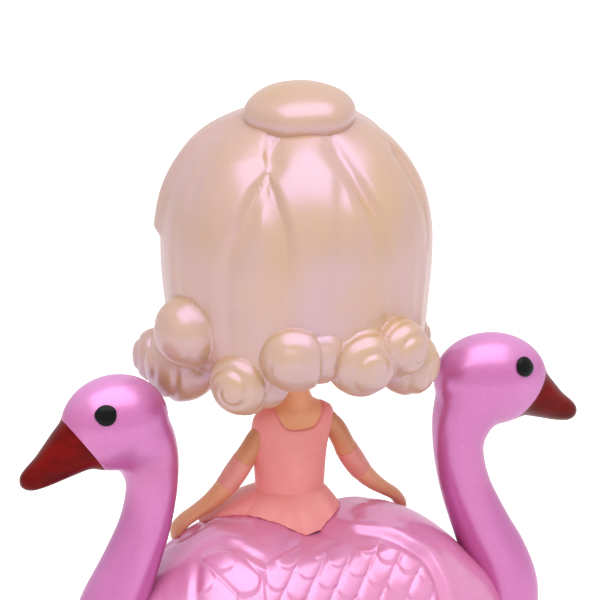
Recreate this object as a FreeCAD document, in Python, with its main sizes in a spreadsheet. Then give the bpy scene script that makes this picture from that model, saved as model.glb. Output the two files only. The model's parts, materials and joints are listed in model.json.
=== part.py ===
import FreeCAD, Part
import math
import os
import re

import Sketcher
from FreeCAD import Placement, Rotation, Vector

# Swan carousel jewellery box: a round drum with a drawer and a musical movement,
# and on top a turntable with two swans back to back and a ballerina seated between them.
# Floor at Z = 0, the turntable turns about Z, the ballerina faces -Y.

SIZES = {
    # drum base
    "drum_radius": 60.0,
    "drum_wall": 2.5,
    "plinth_overhang": 2.0,
    "plinth_thickness": 4.0,
    "felt_inset": 2.5,
    "felt_thickness": 2.0,
    "deck_thickness": 3.0,
    "bead_radius": 1.4,
    "boss_radius": 3.5,
    "boss_height": 10.0,
    "screw_radius": 1.5,
    "running_gap": 0.05,
    # drawer
    "drawer_width": 70.0,
    "drawer_height": 27.0,
    "drawer_sill": 3.6,
    "drawer_reveal": 0.4,
    "drawer_back": 17.0,
    "runner_clearance": 1.38,
    "drawer_wall": 1.6,
    "liner_wall": 1.2,
    "liner_height": 20.0,
    "knob_radius": 4.2,
    # turntable and its spindle
    "bush_radius": 6.0,
    "bush_length": 10.0,
    "flange_radius": 9.0,
    "flange_thickness": 1.2,
    "table_inset": 2.0,
    "table_thickness": 4.7,
    "table_lift": 0.1,
    "spindle_radius": 3.0,
    # musical movement
    "axis_height": 25.0,
    "front_plate": 11.0,
    "plate_sheet": 1.5,
    "plate_space": 20.5,
    "plate_left": 20.0,
    "plate_clearance": 2.0,
    "train_module": 0.6,
    "governor_module": 0.5,
    "gear_width": 1.6,
    "barrel_radius": 10.5,
    "barrel_wall": 1.0,
    "barrel_length": 10.9,
    "spring_sheet": 0.35,
    "arbor_radius": 2.0,
    "cylinder_radius": 6.5,
    "cylinder_length": 14.0,
    "pivot_radius": 1.0,
    "pin_length": 0.8,
    "pin_radius": 0.25,
    "comb_gap": 0.4,
    "comb_thickness": 1.2,
    "comb_margin": 2.1,
    "fan_radius": 4.8,
    "fan_length": 13.0,
    "fan_sheet": 0.6,
    "fan_pivot": 0.6,
    "brake_radius": 5.2,
    "brake_room": 1.5417,
    "stop_radius": 1.0,
    "stop_travel": 2.6,
    "stop_knob_radius": 3.0,
    "key_reach": 12.0,
    "key_socket": 4.0,
    "key_span": 30.0,
    # swans
    "swan_height": 48.5,
    "swan_reach": 54.0,
    "swan_width": 50.0,
    "swan_wall": 2.0,
    "parting_gap": 0.3,
    "neck_scale": 1.0,
    "eye_radius": 2.7,
    # ballerina, measured from her waist
    "waist_height": 50.0,
    "doll_setback": 7.0,
    "waist_width": 14.2,
    "shoulder_width": 18.4,
    "doll_neck_radius": 3.4,
    "arm_radius": 2.7,
    "leg_radius": 3.0,
    "skirt_sheet": 1.2,
    "skirt_width": 36.0,
    "head_radius": 27.0,
    "head_wall": 2.0,
    "hair_radius": 31.0,
    "bun_radius": 12.7,
    "joint_gap": 0.3,
}

GREAT_TEETH = 48
DRIVER_TEETH = 24
CYLINDER_PINION_TEETH = 16
CYLINDER_WHEEL_TEETH = 40
FAN_PINION_TEETH = 12
RATCHET_TEETH = 16
COMB_TEETH = 13

LAYOUT = {
    "plinth_top": "felt_thickness + plinth_thickness",
    "plinth_radius": "drum_radius + plinth_overhang",
    "felt_radius": "plinth_radius - felt_inset",
    "table_radius": "drum_radius - table_inset",
    "drum_inner": "drum_radius - drum_wall",
    "cylinder_x": f"train_module * {GREAT_TEETH + CYLINDER_PINION_TEETH} / 2",
    "fan_distance": f"governor_module * {CYLINDER_WHEEL_TEETH + FAN_PINION_TEETH} / 2",
    "fan_x": "cylinder_x + fan_distance * 0.5",
    "fan_z": "axis_height + fan_distance * 0.8660254",
    "deck_under": "fan_z + brake_radius + brake_room",
    "deck_top": "deck_under + deck_thickness",
    "drum_height": "deck_top - plinth_top",
    "table_under": "deck_top + flange_thickness + table_lift",
    "table_top": "table_under + table_thickness",
    "spindle_top": "table_top - 2.5",
    "boss_circle": "drum_radius - boss_radius - 1.5",
    "sill_top": "plinth_top + drawer_sill",
    "drawer_bottom": "sill_top + drawer_reveal",
    "drawer_top": "drawer_bottom + drawer_height",
    "drawer_middle": "drawer_bottom + drawer_height / 2",
    "box_half": "drawer_width / 2 - 1.1",
    "runner_edge": "box_half + 3.2",
    "runner_front": "sqrt(drum_inner^2 - runner_edge^2) - runner_clearance",
    "rear_plate": "front_plate + plate_sheet + plate_space",
    "movement_back": "rear_plate + plate_sheet",
    "plate_right": "sqrt(drum_inner^2 - movement_back^2) - plate_clearance",
    "gear_front": "front_plate + plate_sheet + 1",
    "gear_back": "gear_front + gear_width",
    "barrel_back": "gear_back + barrel_length",
    "crown_radius": f"train_module * {DRIVER_TEETH} / 2",
    "crown_pitch": "axis_height + crown_radius",
    "crown_top": "crown_pitch + 2.8",
    "cylinder_front": "gear_back + 1.4",
    "cylinder_back": "cylinder_front + cylinder_length",
    "wheel_front": "cylinder_back + 0.7",
    "wheel_back": "wheel_front + 1.2",
    "brake_back": "wheel_front - 1.9",
    "stop_x": "fan_x + brake_radius - 0.5",
    "stop_face": "sqrt(drum_radius^2 - (stop_x - stop_knob_radius)^2) + stop_travel + 0.4",
    "comb_tip": "cylinder_x + cylinder_radius + pin_length + comb_gap",
    "comb_back": "plate_right - comb_margin",
    "waist": "table_top + waist_height",
}

doc = FreeCAD.newDocument("SwanCarousel")
sizes_sheet = doc.addObject("Spreadsheet::Sheet", "Sizes")
layout_sheet = doc.addObject("Spreadsheet::Sheet", "Layout")


def formula(text, local=()):
    """Write sheet names before the words of a formula."""
    def name(word):
        if word.group() in local or word.group() == "sqrt":
            return word.group()
        owner = "Sizes" if word.group() in SIZES else "Layout"
        return owner + "." + word.group()
    return re.sub(r"[a-z][a-z_]+", name, str(text))


for row, (alias, value) in enumerate(SIZES.items(), start=1):
    sizes_sheet.set(f"A{row}", alias.replace("_", " "))
    sizes_sheet.set(f"B{row}", str(value))
    sizes_sheet.setAlias(f"B{row}", alias)
doc.recompute()
for row, (alias, text) in enumerate(LAYOUT.items(), start=1):
    layout_sheet.set(f"A{row}", alias.replace("_", " "))
    layout_sheet.set(f"B{row}", "=" + formula(text, LAYOUT))
    layout_sheet.setAlias(f"B{row}", alias)
doc.recompute()

nodes = {}


def mm(alias):
    sheet = sizes_sheet if alias in SIZES else layout_sheet
    return float(sheet.get(alias))


def node(label, thing):
    thing.Label = label
    nodes[label] = thing
    return thing


TURN = {
    "Z": Rotation(),
    "Y": Rotation(Vector(1, 0, 0), -90),
    "-Y": Rotation(Vector(1, 0, 0), 90),
    "X": Rotation(Vector(0, 1, 0), 90),
}


def place(thing, x=0, y=0, z=0, along="Z"):
    thing.Placement = Placement(Vector(), TURN[along])
    for axis, text in zip("xyz", (x, y, z)):
        thing.setExpression(f"Placement.Base.{axis}", formula(text))
    return thing


def cylinder(radius, height, x=0, y=0, z=0, along="Z"):
    thing = doc.addObject("Part::Cylinder", "Cylinder")
    thing.setExpression("Radius", formula(radius))
    thing.setExpression("Height", formula(height))
    return place(thing, x, y, z, along)


def block(x, y, z):
    """A box from three pairs of faces."""
    thing = doc.addObject("Part::Box", "Block")
    for name, (low, high) in zip(("Length", "Width", "Height"), (x, y, z)):
        thing.setExpression(name, formula(f"({high}) - ({low})"))
    return place(thing, x[0], y[0], z[0])


def sphere(radius, x, y, z):
    thing = doc.addObject("Part::Sphere", "Ball")
    thing.setExpression("Radius", formula(radius))
    return place(thing, x, y, z)


def ring(radius, section, z):
    thing = doc.addObject("Part::Torus", "Ring")
    thing.setExpression("Radius1", formula(radius))
    thing.setExpression("Radius2", formula(section))
    return place(thing, z=z)


def fuse(*things):
    if len(things) == 1:
        return things[0]
    joined = doc.addObject("Part::MultiFuse", "Fuse")
    joined.Shapes = list(things)
    return joined


def cut(base, *tools):
    rest = doc.addObject("Part::Cut", "Cut")
    rest.Base = base
    rest.Tool = fuse(*tools)
    return rest


def common(first, second):
    shared = doc.addObject("Part::Common", "Common")
    shared.Base = first
    shared.Tool = second
    return shared


def group(*things):
    compound = doc.addObject("Part::Compound", "Group")
    compound.Links = list(things)
    return compound


def solid(shape):
    """A piece whose free form is worked out from the sheet."""
    thing = doc.addObject("Part::Feature", "Form")
    thing.Shape = shape
    return thing


def turned(label, profile, along="Z", x=0, y=0, z=0):
    """A lathe-turned body from a profile of radius and length."""
    body = doc.addObject("PartDesign::Body", label)
    sketch = body.newObject("Sketcher::SketchObject", label + "_profile")
    plane = next(part for part in body.Origin.OriginFeatures if part.Role == "XZ_Plane")
    sketch.AttachmentSupport = [(plane, "")]
    sketch.MapMode = "FlatFace"
    count = len(profile)
    corners = [Vector(10 + i, i * i, 0) for i in range(count)]
    sketch.addGeometry([Part.LineSegment(corners[i], corners[(i + 1) % count]) for i in range(count)])
    sketch.addConstraint([Sketcher.Constraint("Coincident", i, 2, (i + 1) % count, 1)
                          for i in range(count)])
    for i, (radius, length) in enumerate(profile):
        for kind, text in (("DistanceX", radius), ("DistanceY", length)):
            index = sketch.addConstraint(Sketcher.Constraint(kind, -1, 1, i, 1, 1.0))
            sketch.setExpression(f"Constraints[{index}]", formula(text))
    turn = body.newObject("PartDesign::Revolution", label + "_turning")
    turn.Profile = sketch
    turn.ReferenceAxis = (sketch, ["V_Axis"])
    turn.Angle = 360
    sketch.Visibility = False
    place(body, x, y, z, along)
    return node(label, body)


def oval(center, reach_u, reach_v, axis_u, axis_v, count=16):
    points = []
    for i in range(count):
        angle = 2 * math.pi * i / count
        points.append(center + axis_u * (reach_u * math.cos(angle)) + axis_v * (reach_v * math.sin(angle)))
    return points


def level_oval(x, y, z, reach_x, reach_y):
    return oval(Vector(x, y, z), reach_x, reach_y, Vector(1, 0, 0), Vector(0, 1, 0))


def skin(sections):
    """A smooth solid through closed sections."""
    wires = []
    for points in sections:
        curve = Part.BSplineCurve()
        curve.interpolate(points, PeriodicFlag=True)
        wires.append(Part.Wire(curve.toShape()))
    return Part.makeLoft(wires, True, False)


def limb(path, count=12):
    """A smooth limb through points of (centre, reach across, reach sideways), square to its run."""
    sections = []
    for i, (center, reach, wide) in enumerate(path):
        before = path[max(i - 1, 0)][0]
        after = path[min(i + 1, len(path) - 1)][0]
        run = (after - before).normalize()
        side = Vector(0, 1, 0)
        if abs(run.y) > 0.9:
            side = Vector(1, 0, 0)
        across = side.cross(run).normalize()
        upright = run.cross(across)
        sections.append(oval(center, reach, wide, across, upright, count))
    return skin(sections)


def spun(center, profile):
    """A round form about an upright axis, from a smooth profile of (height, radius)."""
    curve = Part.BSplineCurve()
    curve.interpolate([center + Vector(radius, 0, z) for z, radius in profile])
    top = center + Vector(0, 0, profile[0][0])
    foot = center + Vector(0, 0, profile[-1][0])
    edges = [curve.toShape()]
    if profile[-1][1] > 0:
        edges.append(Part.makeLine(center + Vector(profile[-1][1], 0, profile[-1][0]), foot))
    edges.append(Part.makeLine(foot, top))
    if profile[0][1] > 0:
        edges.append(Part.makeLine(top, center + Vector(profile[0][1], 0, profile[0][0])))
    return Part.Face(Part.Wire(edges)).revolve(center, Vector(0, 0, 1), 360)


def ellipsoid(center, x, y, z, pitch=0.0):
    """A ball stretched along three axes and pitched about Y."""
    ball = Part.makeSphere(1.0)
    stretch = FreeCAD.Matrix()
    stretch.scale(x, y, z)
    form = ball.transformGeometry(stretch)
    form.rotate(Vector(), Vector(0, 1, 0), pitch)
    form.translate(center)
    return form


# Felt pad, plinth and drum with the drawer opening, key hole and stop hole.
node("felt_pad", cylinder("felt_radius", "felt_thickness"))

BOSS_ANGLES = (-25, 60, 120, 205)


def around(angle):
    return (f"boss_circle * {math.cos(math.radians(angle)):.6f}",
            f"boss_circle * {math.sin(math.radians(angle)):.6f}")


screw_ways = []
screws = []
bosses = []
pilots = []
for angle in BOSS_ANGLES:
    at_x, at_y = around(angle)
    screw_ways.append(cylinder("screw_radius + 0.2", "plinth_thickness", at_x, at_y, "felt_thickness"))
    screw_ways.append(cylinder("2 * screw_radius + 0.2", "2", at_x, at_y, "felt_thickness"))
    screws.append(fuse(
        cylinder("2 * screw_radius", "1.9", at_x, at_y, "felt_thickness"),
        cylinder("screw_radius", "plinth_thickness + 5", at_x, at_y, "felt_thickness")))
    bosses.append(cylinder("boss_radius", "boss_height", at_x, at_y, "plinth_top"))
    pilots.append(cylinder("screw_radius + 0.02", "7", at_x, at_y, "plinth_top"))
node("plinth", cut(
    fuse(cylinder("plinth_radius", "plinth_thickness - 1", z="felt_thickness"),
         cylinder("plinth_radius - 1", "plinth_thickness", z="felt_thickness")),
    *screw_ways))
node("plinth_screws", group(*screws))

drum_wall = cut(
    cylinder("drum_radius", "drum_height", z="plinth_top"),
    cylinder("drum_inner", "drum_height - deck_thickness", z="plinth_top"))
drum_trim = fuse(
    drum_wall,
    ring("drum_radius", "bead_radius", "deck_top - bead_radius"),
    ring("drum_radius", "bead_radius", "plinth_top + bead_radius"),
    *bosses)
node("drum", cut(
    drum_trim,
    block(("-drawer_width / 2 - drawer_reveal", "drawer_width / 2 + drawer_reveal"),
          ("-drum_radius - 10", "-drum_radius * 0.6"),
          ("sill_top", "drawer_top + drawer_reveal")),
    cylinder("bush_radius + running_gap", "deck_thickness + 2", z="deck_under - 1"),
    cylinder("5.05", "20", y="drum_radius - 12", z="axis_height", along="Y"),
    cylinder("stop_radius + 0.5", "30", "stop_x", "rear_plate + 4", "fan_z", "Y"),
    *pilots))

# Drawer with a curved front, a flocked tray and a round knob, on two runners.
front_slab = block(("-drawer_width / 2", "drawer_width / 2"),
                   ("-drum_radius - 5", "-drum_radius * 0.6"),
                   ("drawer_bottom", "drawer_top"))
front_ring = cut(cylinder("drum_radius", "drum_height", z="plinth_top"),
                 cylinder("drum_inner + 0.02", "drum_height", z="plinth_top"))
node("drawer_front", cut(
    common(front_ring, front_slab),
    cylinder("knob_radius * 0.45 + running_gap", "10", y="-drum_radius - 5", z="drawer_middle", along="Y")))
box_outer = common(
    cylinder("drum_inner - 0.02", "drum_height", z="plinth_top"),
    block(("-box_half", "box_half"), ("-drum_radius", "-drawer_back"),
          ("drawer_bottom", "drawer_top - 2.6")))
box_inner = common(
    cylinder("drum_inner - drawer_wall", "drum_height", z="plinth_top"),
    block(("-box_half + drawer_wall", "box_half - drawer_wall"),
          ("-drum_radius", "-drawer_back - drawer_wall"),
          ("drawer_bottom + drawer_wall", "drawer_top")))
node("drawer_box", cut(box_outer, box_inner))
tray_outer = common(
    cylinder("drum_inner - drawer_wall - 0.2", "drum_height", z="plinth_top"),
    block(("-box_half + drawer_wall + 0.2", "box_half - drawer_wall - 0.2"),
          ("-drum_radius", "-drawer_back - drawer_wall - 0.2"),
          ("drawer_bottom + drawer_wall", "drawer_bottom + drawer_wall + liner_height")))
tray_bore = "drum_inner - drawer_wall - 0.2 - liner_wall"
tray_edge = "box_half - drawer_wall - 0.2 - liner_wall"
tray_back = "-drawer_back - drawer_wall - 0.2 - liner_wall"
tray_floor = "drawer_bottom + drawer_wall + liner_wall"
wells = []
for x_pair, y_pair in (
        ((f"-({tray_edge})", "-liner_wall / 2"), ("-drum_radius", tray_back)),
        (("liner_wall / 2", tray_edge), ("-drum_radius", "-drum_radius * 0.6 - liner_wall / 2")),
        (("liner_wall / 2", tray_edge), ("-drum_radius * 0.6 + liner_wall / 2", tray_back))):
    wells.append(common(cylinder(tray_bore, "drum_height", z="plinth_top"),
                        block(x_pair, y_pair, (tray_floor, "drawer_top"))))
node("drawer_tray", cut(tray_outer, *wells))
node("drawer_knob", fuse(
    cylinder("knob_radius * 0.45", "4.5", y="-drum_radius - 2.5", z="drawer_middle", along="Y"),
    sphere("knob_radius", 0, "-drum_radius - 2 - knob_radius", "drawer_middle")))
runners = []
for sign in ("-", ""):
    rail = [f"{sign}(box_half - 5)", f"{sign}runner_edge"]
    lip = [f"{sign}(box_half + 0.4)", f"{sign}runner_edge"]
    if sign:
        rail.reverse()
        lip.reverse()
    run = ("-runner_front", "-drawer_back + 3")
    runners.append(fuse(block(rail, run, ("plinth_top", "drawer_bottom - 0.2")),
                        block(lip, run, ("plinth_top", "drawer_bottom + 5"))))
node("drawer_runners", group(*runners))

# Bush, spindle, crown wheel and turntable.
turned("deck_bush", [
    ("spindle_radius + running_gap", "deck_top - bush_length"),
    ("bush_radius", "deck_top - bush_length"),
    ("bush_radius", "deck_top"),
    ("flange_radius", "deck_top"),
    ("flange_radius", "deck_top + flange_thickness"),
    ("spindle_radius + running_gap", "deck_top + flange_thickness")])
turned("spindle", [
    ("0", "crown_pitch - 1"),
    ("spindle_radius", "crown_pitch - 1"),
    ("spindle_radius", "spindle_top"),
    ("spindle_radius * 0.5 + 0.02", "spindle_top"),
    ("spindle_radius * 0.5 + 0.02", "spindle_top - 9"),
    ("0", "spindle_top - 9")])
turned("turntable", [
    ("spindle_radius + running_gap", "table_under"),
    ("table_radius - 1.2", "table_under"),
    ("table_radius", "table_under + 1.2"),
    ("table_radius", "table_top - 1.2"),
    ("table_radius - 1.2", "table_top"),
    ("spindle_radius + 2", "table_top"),
    ("spindle_radius + 2", "spindle_top"),
    ("spindle_radius + running_gap", "spindle_top")])
turned("spindle_screw", [
    ("0", "spindle_top - 8"),
    ("spindle_radius * 0.5", "spindle_top - 8"),
    ("spindle_radius * 0.5", "spindle_top"),
    ("spindle_radius + 1.5", "spindle_top"),
    ("spindle_radius + 1.5", "spindle_top + 1.6"),
    ("spindle_radius + 0.7", "spindle_top + 2.2"),
    ("0", "spindle_top + 2.2")])


def involute(angle):
    return math.tan(angle) - angle


def toothed_disc(teeth, module, y_front, y_back, x, z, phase, bore):
    """A spur wheel across Y, its first tooth at the phase angle in the XZ plane."""
    pitch = module * teeth / 2
    root = pitch - 1.2 * module
    tip = pitch + 0.92 * module
    base = pitch * math.cos(math.radians(20))
    half = 0.42 * math.pi / teeth
    flank = []
    start = max(root, base)
    for step in range(5):
        radius = start + (tip - start) * step / 4
        spread = half + involute(math.radians(20)) - involute(math.acos(min(1.0, base / radius)))
        flank.append((radius, spread))
    flank.insert(0, (root, flank[0][1]))
    outline = []
    for tooth in range(teeth):
        middle = phase + 2 * math.pi * tooth / teeth
        for radius, spread in flank:
            outline.append((radius, middle - spread))
        for radius, spread in reversed(flank):
            outline.append((radius, middle + spread))
    points = [Vector(x + r * math.cos(a), y_front, z + r * math.sin(a)) for r, a in outline]
    face = Part.Face(Part.makePolygon(points + points[:1]))
    wheel = face.extrude(Vector(0, y_back - y_front, 0))
    if bore:
        way = Part.makeCylinder(bore, y_back - y_front + 2, Vector(x, y_front - 1, z), Vector(0, 1, 0))
        wheel = wheel.cut(way)
    return wheel


def crown_wheel():
    mean = mm("crown_radius")
    module = mm("train_module")
    pitch = mm("crown_pitch")
    top = mm("crown_top")
    disc = Part.makeCylinder(mean + 1.9, top - pitch - 1.2 * module, Vector(0, 0, pitch + 1.2 * module))
    teeth = []
    half = 0.36 * math.pi / DRIVER_TEETH
    for tooth in range(DRIVER_TEETH):
        middle = math.pi / 2 + 2 * math.pi * tooth / DRIVER_TEETH
        corners = []
        for step, spread in ((-1.5, -half), (1.5, -half), (1.5, half), (-1.5, half)):
            radius = mean + step
            angle = middle + spread
            corners.append(Vector(radius * math.cos(angle), radius * math.sin(angle), pitch - 0.8 * module))
        face = Part.Face(Part.makePolygon(corners + corners[:1]))
        teeth.append(face.extrude(Vector(0, 0, 2.2 * module)))
    bore = Part.makeCylinder(mm("spindle_radius") + mm("running_gap"), 20, Vector(0, 0, pitch - 5))
    return disc.multiFuse(teeth).cut(bore)


node("crown_wheel", solid(crown_wheel()))

# Movement plates with their pillars and screws.
plate_z = ("plinth_top", "deck_under - 3")
pivot_holes = [("cylinder_x", "axis_height", "pivot_radius + running_gap"),
               ("fan_x", "fan_z", "fan_pivot + running_gap"),
               ("0", "axis_height", "arbor_radius + running_gap")]
PILLARS = [("-plate_left + 4", "plinth_top + 3.5"), ("-plate_left + 4", "deck_under - 6"),
           ("plate_right - 3", "plinth_top + 3.5"), ("plate_right - 3", "deck_under - 12")]
for label, face in (("movement_front_plate", "front_plate"), ("movement_rear_plate", "rear_plate")):
    holes = [cylinder(bore, "6", at_x, face + " - 2", at_z, "Y") for at_x, at_z, bore in pivot_holes]
    holes += [cylinder("1.05", "6", at_x, face + " - 2", at_z, "Y") for at_x, at_z in PILLARS]
    if face == "rear_plate":
        holes.append(cylinder("stop_radius + running_gap", "6", "stop_x", "rear_plate - 2", "fan_z", "Y"))
    sheet_y = (face, face + " + plate_sheet")
    node(label, cut(block(("-plate_left", "plate_right"), sheet_y, plate_z), *holes))
pillars = []
plate_screws = []
for at_x, at_z in PILLARS:
    pillars.append(cut(
        cylinder("2", "plate_space", at_x, "front_plate + plate_sheet", at_z, "Y"),
        cylinder("1.02", "4", at_x, "front_plate + plate_sheet", at_z, "Y"),
        cylinder("1.02", "4", at_x, "rear_plate - 4", at_z, "Y")))
    plate_screws.append(fuse(
        cylinder("1", "plate_sheet + 3", at_x, "front_plate", at_z, "Y"),
        cylinder("1.8", "0.9", at_x, "front_plate - 0.9", at_z, "Y")))
    plate_screws.append(fuse(
        cylinder("1", "plate_sheet + 3", at_x, "rear_plate - 3", at_z, "Y"),
        cylinder("1.8", "0.9", at_x, "movement_back", at_z, "Y")))
node("movement_pillars", group(*pillars))
node("movement_screws", group(*plate_screws))

# Barrel with its great wheel, driver, cover and mainspring.
axis = mm("axis_height")
node("great_wheel", solid(toothed_disc(
    GREAT_TEETH, mm("train_module"), mm("gear_front"), mm("gear_back"), 0, axis, 0,
    mm("arbor_radius") + 0.02)))
barrel_hub = cylinder("arbor_radius", "gear_back + barrel_wall - crown_radius + 1.2",
                      y="crown_radius - 1.2", z="axis_height", along="Y")
node("barrel_drum", fuse(
    cut(cylinder("barrel_radius", "barrel_length", y="gear_back", z="axis_height", along="Y"),
        cylinder("barrel_radius - barrel_wall", "barrel_length", y="gear_back + barrel_wall",
                 z="axis_height", along="Y")),
    barrel_hub))
node("barrel_cover", cut(
    cylinder("barrel_radius", "1", y="barrel_back", z="axis_height", along="Y"),
    cylinder("arbor_radius + running_gap", "3", y="barrel_back - 1", z="axis_height", along="Y")))
middle_y = mm("crown_radius") * math.cos(math.pi / DRIVER_TEETH) - 0.1
node("driver_gear", solid(toothed_disc(
    DRIVER_TEETH, mm("train_module"), middle_y - 0.6, middle_y + 0.6, 0, axis,
    math.pi / DRIVER_TEETH, mm("arbor_radius") + 0.02)))


def mainspring():
    """A flat spiral of half turns, wound between the arbor and the barrel wall."""
    sheet = mm("spring_sheet")
    inner = mm("arbor_radius") + 0.6
    outer = mm("barrel_radius") - mm("barrel_wall") - 0.6
    halves = 12
    step = (outer - inner) / halves
    front = mm("gear_back") + mm("barrel_wall") + 0.6
    width = mm("barrel_length") - mm("barrel_wall") - 1.2
    edges = []
    for offset in (-sheet / 2, sheet / 2):
        line = []
        angle_sign = 1
        center = 0.0
        radius = inner + offset
        for _ in range(halves):
            a = Vector(center + angle_sign * radius, front, axis)
            b = Vector(center, front, axis + angle_sign * radius)
            c = Vector(center - angle_sign * radius, front, axis)
            line.append(Part.Arc(a, b, c).toShape())
            center = center + angle_sign * step / 2
            angle_sign = -angle_sign
            radius = radius + step / 2
        edges.append(line)
    inside, outside = edges
    starts = [line[0].valueAt(line[0].FirstParameter) for line in edges]
    ends = [line[-1].valueAt(line[-1].LastParameter) for line in edges]
    caps = [Part.makeLine(*starts), Part.makeLine(*ends)]
    loop = Part.Wire(Part.__sortEdges__(inside + outside + caps))
    return Part.Face(loop).extrude(Vector(0, width, 0))


node("mainspring", solid(mainspring()))

# Winding arbor with its ratchet, the key bush in the wall and the winged key.
node("winding_arbor", cylinder(
    "arbor_radius", "drum_radius + key_reach - gear_back - barrel_wall - 0.8",
    y="gear_back + barrel_wall + 0.3", z="axis_height", along="Y"))


def ratchet():
    tip = 6.0
    root = 5.0
    front = mm("barrel_back") + 2.6
    points = []
    for tooth in range(RATCHET_TEETH):
        angle = 2 * math.pi * tooth / RATCHET_TEETH
        for radius, turn in ((root, angle), (tip, angle + 0.02)):
            points.append(Vector(radius * math.cos(turn), front, axis + radius * math.sin(turn)))
    wheel = Part.Face(Part.makePolygon(points + points[:1])).extrude(Vector(0, 1.2, 0))
    return wheel.cut(Part.makeCylinder(
        mm("arbor_radius") + 0.02, 4, Vector(0, front - 1, axis), Vector(0, 1, 0)))


node("ratchet_wheel", solid(ratchet()))
turned("key_bush", [
    ("arbor_radius + running_gap", "drum_radius - 5"),
    ("5", "drum_radius - 5"),
    ("5", "drum_radius + 0.02"),
    ("7.5", "drum_radius + 0.02"),
    ("7", "drum_radius + 1"),
    ("arbor_radius + running_gap", "drum_radius + 1")], "Y", z="axis_height")


key_middle = "drum_radius + key_reach - 0.6"
key_pads = [cylinder("key_span / 5", "2.2", f"{sign} * key_span * 0.3", key_middle, "axis_height - 1.1")
            for sign in (-1, 1)]
node("winding_key", cut(
    fuse(cylinder("key_socket", "key_reach", y="drum_radius + 1.6", z="axis_height", along="Y"),
         block(("-key_span * 0.3", "key_span * 0.3"), (key_middle + " - 3", key_middle + " + 3"),
               ("axis_height - 1.1", "axis_height + 1.1")),
         *key_pads),
    cylinder("arbor_radius + 0.02", "key_reach - 1.4", y="drum_radius + 1", z="axis_height", along="Y")))

# Pinned cylinder, its arbor, pinion and wheel.
node("cylinder_arbor", cylinder(
    "pivot_radius", "movement_back - front_plate", "cylinder_x", "front_plate", "axis_height", "Y"))
node("music_cylinder", cut(
    cylinder("cylinder_radius", "cylinder_length", "cylinder_x", "cylinder_front", "axis_height", "Y"),
    cylinder("pivot_radius + 0.02", "cylinder_length + 2", "cylinder_x", "cylinder_front - 1",
             "axis_height", "Y")))


def music_pins():
    pins = []
    center = mm("cylinder_x")
    reach = mm("cylinder_length") - 2.0
    for note in range(COMB_TEETH):
        along = mm("cylinder_front") + 1.0 + reach * note / (COMB_TEETH - 1)
        for beat in range(4):
            angle = math.radians((note * 137.5 + beat * 83.0) % 330 + 15)
            way = Vector(math.cos(angle), 0, math.sin(angle))
            foot = Vector(center, along, axis) + way * (mm("cylinder_radius") + 0.005)
            pins.append(Part.makeCylinder(mm("pin_radius"), mm("pin_length"), foot, way))
    return Part.makeCompound(pins)


node("music_pins", solid(music_pins()))
node("cylinder_pinion", solid(toothed_disc(
    CYLINDER_PINION_TEETH, mm("train_module"), mm("gear_front"), mm("gear_back"),
    mm("cylinder_x"), axis, math.pi / CYLINDER_PINION_TEETH, mm("pivot_radius") + 0.02)))
node("cylinder_wheel", solid(toothed_disc(
    CYLINDER_WHEEL_TEETH, mm("governor_module"), mm("wheel_front"), mm("wheel_back"),
    mm("cylinder_x"), axis, math.radians(60), mm("pivot_radius") + 0.02)))


# Tuned steel comb on its bed.
def comb():
    tip = mm("comb_tip")
    back = mm("comb_back")
    front = mm("cylinder_front") + 0.4
    reach = mm("cylinder_length") - 0.8
    pitch = reach / COMB_TEETH
    top = axis
    sheet = mm("comb_thickness")
    screw_row = back - 3.2
    screw_hole = 1.1
    longest = 0.7009346 * (screw_row - screw_hole - tip)
    plate = Part.makeBox(back - tip, reach, sheet, Vector(tip, front, top - sheet))
    slots = []
    for gap in range(COMB_TEETH - 1):
        tooth = longest * (1 - 0.4 * gap / COMB_TEETH)
        slots.append(Part.makeBox(tooth + 1, 0.4, 4,
                                  Vector(tip - 1, front + pitch * (gap + 1) - 0.2, top - 3)))
    relief = Part.makeBox((back - tip) / 3 + 1, reach + 2, 4, Vector(tip - 1, front - 1, top - 4.6))
    for at in (0.25, 0.75):
        slots.append(Part.makeCylinder(screw_hole, 6, Vector(screw_row, front + reach * at, top - 4)))
    return plate.cut(relief).cut(Part.makeCompound(slots))


node("comb", solid(comb()))
bed_top = "axis_height - comb_thickness"
comb_holes = [f"cylinder_front + 0.4 + (cylinder_length - 0.8) * {at}" for at in (0.25, 0.75)]
node("comb_bed", cut(
    block(("comb_back - 7", "comb_back"), ("front_plate + plate_sheet", "rear_plate"),
          (bed_top + " - 3.4", bed_top)),
    *[cylinder("1.02", "6", "comb_back - 3.2", at_y, bed_top + " - 4") for at_y in comb_holes]))
node("comb_screws", group(*[fuse(
    cylinder("1", "3 + comb_thickness", "comb_back - 3.2", at_y, bed_top + " - 3"),
    cylinder("1.7", "0.9", "comb_back - 3.2", at_y, "axis_height")) for at_y in comb_holes]))

# Air-brake fan with its pinion and brake disc, and the stop rod that presses on the disc.
node("fan_arbor", cylinder(
    "fan_pivot", "movement_back - front_plate", "fan_x", "front_plate", "fan_z", "Y"))
node("fan_pinion", solid(toothed_disc(
    FAN_PINION_TEETH, mm("governor_module"), mm("wheel_front"), mm("wheel_back"),
    mm("fan_x"), mm("fan_z"), math.radians(15), mm("fan_pivot") + 0.02)))
fan_front = "front_plate + plate_sheet + 1.6"
fan_blades = fuse(
    block(("fan_x - fan_radius", "fan_x + fan_radius"), (fan_front, fan_front + " + fan_length"),
          ("fan_z - fan_sheet / 2", "fan_z + fan_sheet / 2")),
    cylinder("fan_pivot + 0.7", "fan_length", "fan_x", fan_front, "fan_z", "Y"))
node("fan_blades", cut(
    fan_blades,
    cylinder("fan_pivot + 0.02", "fan_length + 2", "fan_x", fan_front + " - 1", "fan_z", "Y")))
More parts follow.
